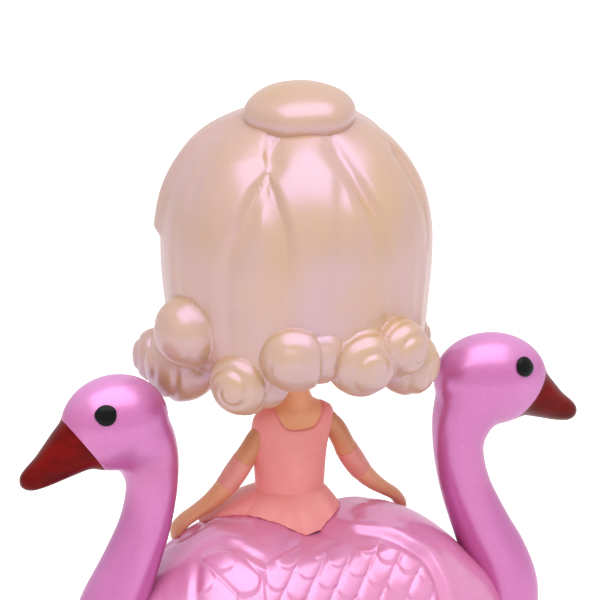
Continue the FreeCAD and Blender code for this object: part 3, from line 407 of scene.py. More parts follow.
# Winding key: a cast brass key with two round wings, pushed on the square of the arbor
# behind the drum, worn bright where the fingers turn it.
key_brass = metal("key_brass", hue(186, 134, 60), hue(238, 200, 122), 0.24, 500)
finished("winding_key", key_brass)

# Stop: a steel rod with a small rose knob, which goes through the back of the drum. Pushed
# in, it slides towards the brake disc of the fan.
finished("stop_knob", rose)

# Drawer: a curved front cut from the drum's own wall, a resin case, and a tray lined with
# rose flock in three wells. A pearl knob opens it.
finished("drawer_front", ivory)
finished("drawer_box", fan_resin)
nap = Finish("rose_flock")
pile = nap.noise(2600, 3, 0.7)
brushed = nap.noise(60, 3, 0.6)
flock = nap.surface(nap.tint(pile * 0.5 + brushed * 0.5, hue(170, 62, 104), hue(232, 136, 172)),
                    0.95, pile, 0.0003, Sheen_Weight=0.7, Sheen_Roughness=0.4, Specular_IOR_Level=0.1)
finished("drawer_tray", flock)
finished("drawer_knob", bead_pearl)

# Turntable: a moulded disc that carries the swans round, its top shaped as ripples on a
# pond and its rim set with pearls. It is sprayed pale aqua under a clear gloss.
pond_paint = Finish("pond_gloss")
swell = pond_paint.noise(70, 3, 0.6)
glint = pond_paint.noise(700, 2)
pond = pond_paint.surface(
    pond_paint.tint(pond_paint.span(swell, 0.3, 0.7), hue(176, 214, 220), hue(214, 234, 236)),
    0.2 + glint * 0.08, swell, 0.0003, Coat_Weight=0.5, Coat_Roughness=0.08)
pond_hole, pond_under = 3.2, 47.32
ripple_far, ripple_gap = 54.6, 6.4
reach = np.linspace(ripple_far, pond_hole, 150)
ripple = 51.8 + 0.2 * np.cos((ripple_far - reach) * 2 * math.pi / ripple_gap)
pond_edge = eased([(pond_hole, pond_under), (56.6, pond_under), (58.0, 48.4), (58.0, 50.8), (57.2, 51.9),
                   (ripple_far, 52.0)], 0.5)
pond_edge += list(zip(reach, ripple)) + [(0, 51.6)]
piece("pond_disc", turned(pond_edge, 240), pond, "turntable", ["turntable"])
placed("pond_pearls", pearl_row("pond_pearls", 120, 56.0, 52.2, 1.15, bead_pearl),
       bead_pearl, "turntable", crease=180)

# Swan bodies: two hollow resin shells moulded with folded wings, set back to back on the
# turntable with a fine line between them. Leaf-shaped scales lie in slanting columns behind
# the smooth front edge of each wing, under a paler pearl than the necks.


def flow(keys, at):
    """Smooth values through rows of keys, whose first column says where, at other places."""
    keys = np.asarray(keys, float)
    at = np.asarray(at, float)
    where, rows = keys[:, 0], keys[:, 1:]
    gap = np.diff(where)
    slope = np.diff(rows, axis=0) / gap[:, None]
    lean = np.empty_like(rows)
    lean[1:-1] = (slope[:-1] * gap[1:, None] + slope[1:] * gap[:-1, None]) / (gap[:-1] + gap[1:])[:, None]
    lean[0] = slope[0]
    lean[-1] = slope[-1]
    i = np.clip(np.searchsorted(where, at) - 1, 0, len(gap) - 1)
    t = ((at - where[i]) / gap[i])[:, None]
    h = gap[i][:, None]
    return ((2 * t ** 3 - 3 * t ** 2 + 1) * rows[i] + (t ** 3 - 2 * t ** 2 + t) * h * lean[i]
            + (3 * t ** 2 - 2 * t ** 3) * rows[i + 1] + (t ** 3 - t ** 2) * h * lean[i + 1])


def ramp(value, low, high):
    """A soft step from 0 at low to 1 at high."""
    t = np.clip((value - low) / (high - low), 0, 1)
    return t * t * (3 - 2 * t)


def hump(away, width):
    """A soft hump, 1 in its middle."""
    return np.exp(-(away / width) ** 2)


def paced(path):
    """How far along a path each of its points lies."""
    return np.concatenate([[0], np.cumsum(np.linalg.norm(np.diff(path, axis=0), axis=1))])


def near(points, path, steps=240):
    """How far points are from a path, and the nearest place: how far along, where, which way."""
    path = np.asarray(path, float)
    run = paced(path)
    at = np.linspace(0, run[-1], steps)
    line = flow(np.column_stack([run, path]), at)
    best = np.full(len(points), 1e9)
    which = np.zeros(len(points), int)
    for k, spot in enumerate(line):
        away = np.linalg.norm(points - spot, axis=1)
        closer = away < best
        best[closer] = away[closer]
        which[closer] = k
    return best, at[which] / run[-1], line[which], np.gradient(line, axis=0)[which]


# The swans carry the painted highlight on upward faces: strongly on the necks and heads, faintly on the
# bodies.
swan_pink = pearl("swan_pink", hue(146, 42, 102), hue(173, 73, 138), hue(188, 90, 153),
                  hue(190, 90, 132), hue(255, 186, 248), 0.28, 0.5, 2.0, 0.4)
feather_pink = pearl("feather_pink", hue(208, 112, 158), hue(214, 120, 166), hue(220, 132, 178),
                     hue(222, 126, 158), hue(255, 204, 252), 0.26, 0.5, 1.9, 0.16)
pond_top = 52.0
swan_tall = 47.4
seam_half = 0.15
sides = ((1, "left"), (-1, "right"))
swan_shape = np.array([
    # share of the height, middle, half length, half width
    (0.000, 23.0, 25.5, 21.5), (0.090, 24.3, 28.2, 24.2), (0.200, 24.4, 29.4, 25.2),
    (0.392, 21.8, 26.8, 25.0), (0.590, 19.8, 24.4, 23.2), (0.707, 17.8, 21.4, 21.0),
    (0.825, 16.0, 17.8, 17.4), (0.900, 14.9, 14.2, 14.2), (0.950, 14.4, 10.3, 10.4),
    (0.985, 14.2, 5.7, 5.8), (0.999, 14.1, 1.3, 1.4)])
fine_share = np.linspace(0, 0.999, 1200)
fine_shape = flow(swan_shape, fine_share)


def swan_top(x, y):
    """The height of the swans' backs over a point of the plan, below the table where there is none."""
    long = np.abs(x)[:, None]
    middle, half, wide = (fine_shape[None, ::6, k] for k in range(3))
    over = ((long - middle) / half) ** 2 + (y[:, None] / wide) ** 2 <= 1
    share = np.where(over, fine_share[None, ::6], -1).max(1)
    return pond_top + share * swan_tall


look = np.array([-0.3348, -0.8963, -0.2907])
view_right = np.array([-0.9368, 0.3499, 0.0])
view_up = np.array([-0.1017, -0.2723, 0.9568])
viewer = np.array([306.4, 815.6, 415.4])
view_far = 930.8
wings = {
    # front edge of the folded wing in the view, start of the scales, their lean, width, length and
    # depth, and how far the edge stands out
    -1: ([(9.3, 51.9), (14.4, 52.6), (20.9, 53.5), (25.6, 55.8), (30.3, 59.1), (32.6, 62.8), (34.4, 67.5),
          (34.9, 74.5), (33.3, 81.4), (29.1, 88.4), (22.1, 93.8), (14.0, 96.6)],
         (20.5, 59.1), 26.0, 5.3, 5.5, 1.15, 0.8),
    1: ([(-7.0, 59.6), (-8.4, 58.9), (-13.5, 56.1), (-18.6, 55.2), (-22.6, 56.1), (-24.9, 58.6),
         (-25.8, 64.0), (-26.1, 69.8), (-25.1, 79.1), (-22.1, 88.4), (-16.3, 94.2), (-9.3, 96.6)],
        (-18.1, 60.2), -45.0, 7.1, 7.7, 1.1, 0.35)}


def seen(points):
    """Where points fall in the view over her left shoulder, in millimetres right and down."""
    away = points - viewer
    return np.stack([away @ view_right, -(away @ view_up)], -1) / (away @ look)[..., None] * view_far


def scales(view, start, lean, wide, long, depth):
    """How far leaf-shaped scales stand out, laid like tiles in slanting columns."""
    lean = math.radians(lean)
    away = view - np.array(start)
    across = away @ np.array([math.cos(lean), math.sin(lean)]) / wide
    down = away @ np.array([-math.sin(lean), math.cos(lean)]) / long
    side = 2 * (across - np.round(across))
    row = (down + 0.5 + 0.30 * side ** 2) % 1.0
    round_off = np.sqrt(np.clip(1 - np.abs(side) ** 2.6, 0, 1))
    rise = row ** 0.7 * (1 - ramp(row, 0.84, 1.0))
    return depth * (0.5 * round_off + 0.5 * rise * round_off ** 0.5)


def wing_relief(side, points, out):
    """The folded wings of one swan: a smooth front edge, scales behind it, faint down before it."""
    edge, start, lean, wide, long, depth, roll = wings[side]
    flank = np.where(points[:, 1] < 0, -1.0, 1.0)
    turn = np.stack([np.ones_like(flank), flank, np.ones_like(flank)], 1)
    view = seen(points * turn)
    away, share, spot, way = near(view, edge)
    behind = away * np.sign(-side * (way[:, 0] * (view - spot)[:, 1] - way[:, 1] * (view - spot)[:, 0]))
    relief = roll * hump(behind, np.where(behind > 0, 1.0, 1.9)) * ramp(share, 0.0, 0.06)
    relief = relief - 0.4 * roll * hump(behind - 2.1, 0.8) * ramp(share, 0.0, 0.08)
    low = view[:, 1] - np.where(side < 0, 57.0 + 0.14 * (20.5 - view[:, 0]), 55.5)
    tiles = scales(view, start, lean, wide, long, depth)
    relief = relief + tiles * ramp(behind, 1.8, 4.2) * ramp(low, -1.0, 2.0)
    relief = relief + scales(view, start, lean, 4.6, 4.8, 0.16) * ramp(-behind, 2.0, 5.0)
    facing = (out * turn) @ -look
    plain = ramp(facing, 0.08, 0.34) * ramp(np.abs(points[:, 0]), 0.3, 1.6)
    plain = plain * ramp(points[:, 2] - pond_top, 1.5, 5.0)
    return relief * plain


run = np.concatenate([[0], np.cumsum(np.hypot(np.diff(fine_share) * swan_tall, np.diff(fine_shape[:, 2])))])
swan_share = np.interp(np.linspace(0, run[-1], 190), run, fine_share)
swan_turn = full_turn(420)


def swan_body(side):
    shape = flow(swan_shape, swan_share)
    rings = np.stack([
        side * (shape[:, :1] + shape[:, 1:2] * np.cos(swan_turn)),
        shape[:, 2:3] * np.sin(swan_turn),
        np.repeat((pond_top + swan_share * swan_tall)[:, None], len(swan_turn), 1)], -1)
    along = np.roll(rings, -1, 1) - np.roll(rings, 1, 1)
    up = np.gradient(rings, axis=0)
    out = side * np.cross(along, up)
    out /= np.linalg.norm(out, axis=-1, keepdims=True) + 1e-9
    relief = wing_relief(side, rings.reshape(-1, 3), out.reshape(-1, 3))
    rings = rings + out * relief.reshape(rings.shape[:2])[..., None]
    rings[..., 0] = np.maximum(rings[..., 0] * side, seam_half) * side
    return skinned(rings)


for side, hand in sides:
    piece(f"swan_{hand}_shell", swan_body(side), feather_pink, "turntable",
          [f"swan_{hand}_body"], crease=60)

# Swan necks and heads: a long bent neck and a round head in one moulding, sprayed pearl pink
# and glued into the breast of each body. The beak is lacquered red, the eyes are black domes.


def tube(path, around=48, steps=160, side_axis=(0, 1, 0)):
    """Rings along a path of (x, y, z, half width, half height), round or oval."""
    path = np.asarray(path, float)
    run = paced(path[:, :3])
    rows = flow(np.column_stack([run, path]), np.linspace(0, run[-1], steps))
    ahead = np.gradient(rows[:, :3], axis=0)
    ahead /= np.linalg.norm(ahead, axis=1, keepdims=True)
    across = np.array(side_axis, float) - ahead * (ahead @ np.array(side_axis, float))[:, None]
    across /= np.linalg.norm(across, axis=1, keepdims=True)
    up = np.cross(ahead, across)
    turn = full_turn(around)
    return (rows[:, None, :3] + across[:, None] * (rows[:, 3, None] * np.cos(turn))[..., None]
            + up[:, None] * (rows[:, 4, None] * np.sin(turn))[..., None])


def ball(middle, half, tilt=0.0, around=64, rows=40):
    """A round or oval ball, tipped about the Y axis."""
    up = np.linspace(-math.pi / 2, math.pi / 2, rows)
    turn = full_turn(around)
    x = half[0] * np.cos(up)[:, None] * np.cos(turn)
    y = half[1] * np.cos(up)[:, None] * np.sin(turn)
    z = half[2] * np.repeat(np.sin(up)[:, None], around, 1)
    c, s = math.cos(tilt), math.sin(tilt)
    return np.stack([middle[0] + c * x + s * z, middle[1] + y, middle[2] - s * x + c * z], -1)


def gathered(forms):
    """Several forms in one list of points and faces."""
    points, faces = [], []
    for form_points, form_faces in forms:
        start = len(points)
        points += np.asarray(form_points).tolist()
        faces += [[start + k for k in face] for face in form_faces]
    return np.array(points), faces


def melted(forms, grain, passes):
    """Several closed forms made into one moulding, with the seams between them softened."""
    blank = bpy.data.objects.new("moulding", meshed("moulding", gathered(forms), 1e-7))
    scene.collection.objects.link(blank)
    join = blank.modifiers.new("join", "REMESH")
    join.mode = "VOXEL"
    join.voxel_size = grain * 0.001
    soften = blank.modifiers.new("soften", "SMOOTH")
    soften.factor = 0.5
    soften.iterations = passes
    bpy.context.view_layer.update()
    result = bpy.data.meshes.new_from_object(blank.evaluated_get(bpy.context.evaluated_depsgraph_get()))
    bpy.data.objects.remove(blank)
    return result


def parted(mesh, spot, way, reach, keep_ahead):
    """The part of a moulding ahead of a plane near a spot, or the rest, closed at the cut."""
    part = bmesh.new()
    part.from_mesh(mesh)
    spot = Vector(spot) * 0.001
    way = Vector(way)
    reach *= 0.001
    close = [face for face in part.faces if (face.calc_center_median() - spot).length < reach]
    edges = {edge for face in close for edge in face.edges}
    corners = {corner for face in close for corner in face.verts}
    cut = bmesh.ops.bisect_plane(part, geom=list(corners) + list(edges) + close, dist=1e-7,
                                 plane_co=spot, plane_no=way)
    rim = [edge for edge in cut["geom_cut"] if isinstance(edge, bmesh.types.BMEdge)]
    ahead = set()
    for face in part.faces:
        middle = face.calc_center_median() - spot
        if middle.length < reach and middle.dot(way) > 0:
            ahead.add(face)
    drop = [face for face in part.faces if (face in ahead) != keep_ahead]
    bmesh.ops.delete(part, geom=drop, context="FACES")
    bmesh.ops.contextual_create(part, geom=[edge for edge in rim if edge.is_valid and edge.is_boundary])
    bmesh.ops.recalc_face_normals(part, faces=part.faces)
    result = bpy.data.meshes.new("part")
    part.to_mesh(result)
    part.free()
    return result


lacquer = Finish("beak_red")
brushwork = lacquer.noise(120, 3, 0.6, lacquer.node("ShaderNodeMapping", None, {
    "Vector": lacquer.place, "Rotation": (0, 0.55, 0), "Scale": (0.35, 1.6, 1.6)}))
beak_red = lacquer.surface(
    lacquer.tint(lacquer.span(brushwork, 0.3, 0.72), hue(92, 5, 4), hue(126, 11, 8)),
    0.34 + (brushwork - 0.5) * 0.12, brushwork, 0.00012, Specular_IOR_Level=0.1)
eye_black = flecked("eye_gloss", 900, 2, hue(4, 4, 5), hue(9, 9, 10), 0.2, 0.06, Specular_IOR_Level=0.15)
waist = 102.0
neck_path = np.array([
    # distance out, height from the waist, radius
    (45.0, -42.0, 8.0), (48.6, -35.0, 8.8), (49.6, -28.0, 8.5), (47.4, -19.0, 7.6), (44.6, -13.0, 7.0),
    (42.2, -7.5, 6.5), (40.0, -2.0, 6.1), (38.4, 4.0, 5.9), (37.7, 10.0, 6.1), (38.8, 16.0, 7.4),
    (41.2, 20.5, 8.6), (44.0, 23.0, 8.9)])
beak_root, beak_size, beak_reach = 49.0, 18.7, 24.0
beak_path = np.array([
    # distance out, height from the waist, half height, half width
    (49.0, 23.4, 7.0, 7.4), (52.4, 22.2, 6.9, 7.2), (55.2, 20.8, 6.3, 6.6), (58.6, 18.6, 5.0, 5.6),
    (62.0, 16.4, 3.7, 4.4), (65.0, 14.9, 2.8, 3.4), (66.8, 14.0, 1.9, 2.3), (67.7, 13.5, 0.5, 0.7)])
head_lift, head_wide, head_tall = 24.8, 9.6, 11.0
beak_edge_out, beak_edge_lift = 58.2, 26.1
swan_eye, swan_eye_half = (50.9, 7.95, 29.4), (2.5, 2.4, 0.9)
# the head of the left swan is a little shorter behind and its beak longer and lower
head_shape = {1: (46.4, 12.6, 10.0, 1.07, 1.5), -1: (45.6, 13.9, 6.0, 1.0, 0.0)}
for side, hand in sides:
    neck_rows = [(side * x, 0, waist + z, r, r) for x, z, r in neck_path]
    head_out, head_long, nod, beak_long, beak_low = head_shape[side]
    beak_rows = [(side * (beak_root + (x - beak_root) * beak_long), 0,
                  waist + z - beak_low * (x - beak_root) / beak_size, wide, tall)
                 for x, z, tall, wide in beak_path]
    moulding = melted([
        skinned(tube(neck_rows)),
        skinned(ball((side * head_out, 0, waist + head_lift), (head_long, head_wide, head_tall),
                     side * math.radians(nod))),
        skinned(tube(beak_rows, 40, 90))], grain=0.55, passes=30)
    edge = (side * beak_edge_out, 0, waist + beak_edge_lift)
    way = (side * 0.80, 0, -0.60)
    placed(f"swan_{hand}_neck_head", parted(moulding, edge, way, beak_reach, False), swan_pink, "turntable",
           [f"swan_{hand}_neck"], crease=60)
    placed(f"swan_{hand}_bill", parted(moulding, edge, way, beak_reach, True), beak_red, "turntable",
           [f"swan_{hand}_beak"], crease=60)
    eyes = []
    for sign in (-1, 1):
        dome = ball((0, 0, 0), swan_eye_half, 0, 40, 24)
        dome[..., 0] *= 1 + 0.05 * np.cos(3 * np.arctan2(dome[..., 1], dome[..., 0]) + 0.8)
        points, faces = skinned(dome)
        out = np.array([0.33 * side, sign * 0.88, 0.34])
        out /= np.linalg.norm(out)
        ahead = np.array([side, 0.0, 0.0])
        ahead -= out * ahead.dot(out)
        ahead /= np.linalg.norm(ahead)
        base = np.array([ahead, np.cross(out, ahead), out])
        spot = np.array([side * swan_eye[0], sign * swan_eye[1], waist + swan_eye[2]])
        eyes.append((points @ base + spot, faces))
    piece(f"swan_{hand}_eye_pair", gathered(eyes), eye_black, "turntable",
          [f"swan_{hand}_eyes"], crease=80)

# Tail feathers: one broad feather on each flank, laid from one swan over the line between
# them onto the back of the other, its scales in line with those of the wing it grows from.
doll_y = -7.0
feather_thick = 2.4
feather_edge = np.array([
    # height from the waist, free edge on one swan, end under the wing of the other
    (-50.2, 9.0, -10.0), (-40.0, 14.0, -13.0), (-30.0, 17.5, -14.0), (-20.0, 18.8, -13.0),
    (-14.4, 18.6, -11.5), (-10.8, 17.6, -10.0), (-8.6, 16.3, -8.0), (-7.5, 14.6, -6.0),
    (-6.8, 11.6, -3.0), (-6.4, 7.6, 1.0)])


def swan_side(x, height):
    """How far the swans' flanks stand out at one height, along a row of places."""
    middle, half, wide = flow(swan_shape, [(waist + height - pond_top) / swan_tall])[0]
    return wide * np.sqrt(np.clip(1 - ((np.abs(x) - middle) / half) ** 2, 0, 1))


def stretched(x, y):
    """A sheet pulled tight over a row of points, so that it spans the hollows."""
    held = [0]
    for k in range(1, len(x)):
        while len(held) > 1:
            a, b = held[-2:]
            if (y[b] - y[a]) * (x[k] - x[a]) > (y[k] - y[a]) * (x[b] - x[a]):
                break
            held.pop()
        held.append(k)
    return np.interp(x, x[held], y[held])


def tail_feather(flank, peak):
    heights = np.linspace(peak, feather_edge[0, 0], 170)
    ends = flow(feather_edge, heights)
    v = np.linspace(-1, 1, 91)
    x = ends[:, 1:] + (ends[:, :1] - ends[:, 1:]) * (v + 1) / 2
    y = np.array([stretched(row, swan_side(row, height)) for row, height in zip(x, heights)])
    z = waist + np.repeat(heights[:, None], len(v), 1)
    view = seen(np.stack([x, y, z], -1))
    _, start, lean, wide, long, depth, _ = wings[-1]
    tiles = scales(view, start, lean, wide, long, depth) * ramp(view[..., 1], 55.5, 60.0)
    rim = ramp(1 - v, 0.0, 0.07)
    y = y + 0.25 + 0.65 * v + 0.5 * (1 - v ** 2) + tiles * rim + 0.45 * (rim - 1)
    top = np.stack([flank * x, flank * y, z], -1)
    low = np.stack([flank * x, flank * (y - feather_thick), z], -1)
    return skinned(np.concatenate([top, low[:, ::-1]], 1))


for flank, peak, label in ((1, -6.4, "back"), (-1, -17.0, "front")):
    piece(f"tail_feather_{label}", tail_feather(flank, peak), feather_pink, "turntable",
          ["tail_feathers"] if label == "back" else (), crease=60)

# Ballerina's body: a moulded torso with its neck, in peach vinyl. The leotard is moulded
# on, half a millimetre proud, with a scooped neck and broad straps.
vinyl = Finish("peach_vinyl")
_, skin_colour = vinyl.mottled(130, hue(236, 164, 118), hue(244, 178, 136))
pore = vinyl.noise(1500, 2)
skin = vinyl.surface(
    skin_colour, 0.44 + (pore - 0.5) * 0.1, pore, 0.00002, Coat_Weight=0.1, Coat_Roughness=0.3,
    Subsurface_Weight=0.08, Subsurface_Radius=(0.004, 0.0016, 0.001))
knit = Finish("leotard_salmon")
weave = knit.node("ShaderNodeTexWave", {"wave_type": "BANDS", "bands_direction": "Z"},
                  {"Vector": knit.place, "Scale": 420, "Distortion": 1.2, "Detail": 1.0})
_, knit_colour = knit.mottled(90, hue(246, 150, 146), hue(252, 164, 158))
leotard = knit.surface(
    knit_colour, 0.5 + (weave - 0.5) * 0.08, weave, 0.000012, Coat_Weight=0.12, Coat_Roughness=0.35)
waist_lean = 1.7
torso_keys = [
    # height from the waist, half width, half depth
    (-11.0, 6.6, 5.0), (-6.0, 8.2, 6.6), (-3.0, 8.1, 6.4), (0.0, 7.75, 5.7), (4.0, 7.8, 5.8),
    (9.0, 8.1, 6.2), (14.0, 8.7, 6.1), (17.5, 9.3, 5.4), (19.4, 9.0, 4.9), (20.8, 8.0, 4.4),
    (21.9, 6.0, 3.9), (22.8, 4.4, 3.7), (24.0, 3.5, 3.5), (30.0, 3.4, 3.4), (37.0, 3.3, 3.3)]


def torso_rings(low, high, steps, around):
    heights = np.linspace(low, high, steps)
    half = flow(torso_keys, heights)
    turn = full_turn(around)
    lean = waist_lean * (1 - ramp(heights, 10.0, 26.0))[:, None]
    return np.stack([lean + half[:, :1] * np.cos(turn), doll_y + half[:, 1:2] * np.sin(turn),
                     waist + np.repeat(heights[:, None], around, 1)], -1)


piece("doll_body", skinned(torso_rings(-11.0, 37.0, 120, 96)), skin, "turntable",
      ["doll_torso"], crease=60)
scoop_back, scoop_front, strap_rise, strap_out = 17.2, 15.4, 5.2, 5.9
cloth_proud, cloth_sink, waist_crease = 0.55, 1.3, 0.35
cloth_rings = torso_rings(-6.0, 23.4, 210, 240)
x, y, z = (cloth_rings[..., k] for k in range(3))
side_way = x - x.mean(1, keepdims=True)
scoop = np.where(y > doll_y, scoop_back, scoop_front) + strap_rise * (side_way / strap_out) ** 4
proud = cloth_proud - cloth_sink * ramp(z - waist - scoop, -0.25, 0.25)
proud = proud - waist_crease * hump(z - waist - 0.6, 0.45)
away = cloth_rings - cloth_rings.mean(1, keepdims=True)
away /= np.linalg.norm(away, axis=-1, keepdims=True)
piece("doll_leotard", skinned(cloth_rings + away * proud[..., None]), leotard, "turntable",
      crease=60)

# Skirt: a short flared skirt moulded in one with the leotard, with soft folds, spread over
# the swans' backs and hanging lowest over the line between them.
skirt_gap, skirt_thick, skirt_drop, hem_roll = 0.15, 0.75, 6.4, 0.32
waist_wide, waist_deep = 8.1, 5.9
skirt_hem = np.array([
    # angle from her left side, how far the hem stands from the waist's axis
    (-180.0, 11.5), (-165.0, 13.0), (-140.0, 17.0), (-110.0, 20.5), (-80.0, 21.0), (-45.0, 20.5),
    (-22.0, 20.8), (-8.0, 20.2), (0.0, 17.2), (8.0, 14.6), (16.0, 13.3), (30.0, 12.3), (48.0, 11.9),
    (62.0, 12.2), (75.0, 12.2), (90.0, 11.7), (110.0, 10.7), (128.0, 10.7), (150.0, 11.2),
    (165.0, 11.3), (180.0, 11.5)])


def skirt_sheet(lift, steps=70, around=300):
    along = np.linspace(0, 1, steps)[:, None]
    turn = np.linspace(-math.pi, math.pi, around, endpoint=False)
    folds = 1 + 0.012 * np.sin(11 * turn + 0.6) + 0.008 * np.sin(17 * turn)
    far = flow(skirt_hem, np.degrees(turn))[:, 0] * folds
    waist_line = np.hypot(waist_wide * np.cos(turn), waist_deep * np.sin(turn))
    reach = waist_line + (far - waist_line) * along
    x = waist_lean + reach * np.cos(turn)
    y = doll_y + reach * np.sin(turn)
    hem_z = np.maximum(swan_top(x[-1], y[-1]) + skirt_gap, waist - skirt_drop)
    z = waist + 1.0 + (hem_z - waist - 1.0) * along ** 1.25 + 0.14 * np.sin(11 * turn + 0.6) * along ** 2
    z = np.maximum(z, swan_top(x.ravel(), y.ravel()).reshape(z.shape) + skirt_gap) + lift
    return np.stack([x, y, z], -1)


over = skirt_sheet(skirt_thick)
under = skirt_sheet(0.0)
hem = (over[-1] + under[-1]) / 2
hem_way = hem - np.array([waist_lean, doll_y, 0])
hem_way[:, 2] = 0
hem_way /= np.linalg.norm(hem_way, axis=1, keepdims=True)
skirt_rings = np.concatenate([over, (hem + hem_way * hem_roll)[None], under[::-1]])
satin = Finish("skirt_salmon")
shimmer, satin_colour = satin.mottled(70, hue(250, 158, 156), hue(255, 172, 168))
skirt_satin = satin.surface(
    satin_colour, 0.48 + (shimmer - 0.5) * 0.1, satin.noise(1100, 2), 0.00002,
    Coat_Weight=0.12, Coat_Roughness=0.35)
piece("doll_tutu", skinned(skirt_rings, False, False), skirt_satin, "turntable",
      ["doll_skirt"], crease=60)

# Legs and slippers: two bent legs in front of the swans, in peach vinyl, with painted rose
# slippers whose ribbons wind twice round the ankle.
leg_half = 3.0
foot_out, foot_ahead = 3.4, 24.0
leg_path = [
    # out from the middle, from her axis, height from the waist, share of the half width
    (3.6, -4.0, -9.0, 1.0), (4.0, -12.0, -9.6, 1.02), (4.2, -18.0, -10.0, 0.98),
    (4.2, -22.4, -12.2, 0.97), (4.1, -24.2, -16.0, 0.9), (4.0, -24.2, -21.0, 0.95),
    (3.7, -24.0, -29.0, 0.76), (3.4, -24.0, -35.6, 0.62)]
shoe_path = [
    # height from the waist, half width, half length
    (-34.6, 2.05, 2.1), (-35.2, 2.3, 2.4), (-37.5, 2.5, 2.7), (-40.0, 2.4, 2.6), (-42.5, 1.8, 2.0),
    (-43.7, 1.1, 1.2), (-44.0, 0.4, 0.4)]
ankle = np.array([(z, r) for _, _, z, r in leg_path])[::-1][:4]
legs, shoes = [], []
for side in (-1, 1):
    rows = [(side * x, doll_y + y, waist + z, leg_half * r, leg_half * r)
            for x, y, z, r in leg_path]
    legs.append(skinned(tube(rows, 40, 110, (1, 0, 0))))
    heights = np.linspace(shoe_path[0][0], shoe_path[-1][0], 60)
    half = flow(np.array(shoe_path)[::-1], heights)
    turn = full_turn(48)
    rings = np.stack([
        side * foot_out + half[:, :1] * np.cos(turn), doll_y - foot_ahead + half[:, 1:2] * np.sin(turn),
        waist + np.repeat(heights[:, None], 48, 1)], -1)
    rings[:3, :, 2] += 0.9 * np.sin(turn)[None] * np.array([1.0, 0.8, 0.4])[:, None]
    shoes.append(skinned(rings))
    for lean in (1, -1):
        wind = np.linspace(0, 2 * math.pi, 60)
        height = -30.0 + lean * 1.6 * np.sin(wind) - 1.0
        thick = flow(ankle, height)[:, 0] * leg_half + 0.12
        ribbon = np.column_stack([side * (3.7 - (height + 29.0) * 0.05) + thick * np.cos(wind),
                                  doll_y - foot_ahead + thick * np.sin(wind), waist + height,
                                  np.full(60, 0.2), np.full(60, 0.55)])
        shoes.append(skinned(tube(ribbon, 10, 90, (0, 0.01, 0))))
piece("doll_leg_pair", gathered(legs), skin, "turntable", ["doll_legs"], crease=60)
piece("doll_slipper_pair", gathered(shoes), skirt_satin, "turntable",
      ["doll_slippers"], crease=60)

# Arms: two peach arms on shoulder pins, bent at the elbow with the hands flat on the
# swans' backs, each with a pink band painted round the elbow and painted shade above it.
pin_out, pin_y, pin_height = 10.2, doll_y + 0.6, waist + 18.2
arm_half = 2.7
arm_path = [
    # place from the shoulder pin, thickness, width
    ((-2.8, 0.0, -1.0), 0.80, 0.80), ((-1.6, -0.1, -2.2), 0.88, 0.88), ((-0.2, -0.4, -4.2), 0.92, 0.92),
    ((1.1, -0.9, -6.6), 0.93, 0.93), ((2.4, -1.6, -9.0), 0.95, 0.95), ((4.4, -2.1, -12.2), 0.98, 0.98),
    ((6.4, -2.55, -15.1), 0.92, 0.94), ((10.3, -3.45, -19.1), 0.74, 0.84),
    ((13.4, -4.2, -21.4), 0.60, 0.88), ((16.2, -4.9, -23.5), 0.54, 0.96),
    ((17.9, -5.6, -26.0), 0.46, 0.90), ((18.6, -6.0, -27.8), 0.14, 0.30)]
arm_vinyl = Finish("arm_vinyl")
height = arm_vinyl.node("ShaderNodeSeparateXYZ", None, {"Vector": arm_vinyl.place}, "Z")
mottle, arm_colour = arm_vinyl.mottled(90, hue(236, 164, 120), hue(246, 182, 142))
# painted shade: the upper arm, from the band upward, is darkened as if under the hair's shadow
painted_arm_shade = arm_vinyl.span(height, (waist + 5.0) * 0.001, (waist + 15.0) * 0.001)
arm_skin = arm_vinyl.surface(
    arm_vinyl.tint(painted_arm_shade * 0.7, arm_colour, hue(196, 126, 82)), 0.42 + (mottle - 0.5) * 0.1,
    mottle, 0.00002, Coat_Weight=0.12, Coat_Roughness=0.3)
blush_band = Finish("arm_band_pink")
smear, band_colour = blush_band.mottled(150, hue(236, 150, 138), hue(244, 166, 152))
band_pink = blush_band.surface(
    band_colour, 0.4 + (smear - 0.5) * 0.1, smear, 0.00003, Coat_Weight=0.15, Coat_Roughness=0.3)
for side, hand in sides:
    rows = [(side * (pin_out + dx), pin_y + dy, pin_height + dz, arm_half * wide, arm_half * tall)
            for (dx, dy, dz), tall, wide in arm_path]
    rings = tube(rows, 56, 170, (0, 1, 0))
    cap = ball((side * 7.6, pin_y, waist + 17.2), (2.3, 2.3, 2.3), 0, 48, 30)
    moulding = melted([skinned(rings), skinned(cap)], grain=0.22, passes=5)
    placed(f"doll_{hand}_arm", moulding, arm_skin, f"arm_{hand}", [f"doll_arm_{hand}"], crease=60)
    middle = rings.mean(1)
    drop = pin_height - middle[:, 2]
    keep = (drop > 9.0) & (drop < 15.4)
    band = middle[keep, None] + (rings[keep] - middle[keep, None]) * 1.045
    piece(f"doll_{hand}_arm_band", skinned(band), band_pink, f"arm_{hand}", crease=50)

# Head: a round hollow vinyl head on the neck, with a small plain doll's face, two large
# calm eyes, a button nose and a short mouth, all printed and clear coated.
head_middle = np.array([0.0, doll_y, waist + 60.2])
head_reach = 27.0
eye_out, iris_out, iris_up = 8.6, 8.3, -5.9


def face_rise(x, z):
    """How far the face stands out from the round of the head."""
    rise = 1.5 * np.exp(-((x / 1.9) ** 2 + ((z + 11.0) / 1.7) ** 2))
    for side in (-1, 1):
        rise = rise + 0.7 * np.exp(-(((x - side * 11.0) / 5.0) ** 2 + ((z + 14.5) / 4.2) ** 2))
        rise = rise - 0.5 * np.exp(-(((x - side * eye_out) / 4.6) ** 2 + ((z + 5.6) / 3.4) ** 2))
    rise = rise + 0.5 * np.exp(-((x / 4.0) ** 2 + ((z + 21.5) / 2.6) ** 2))
    return rise


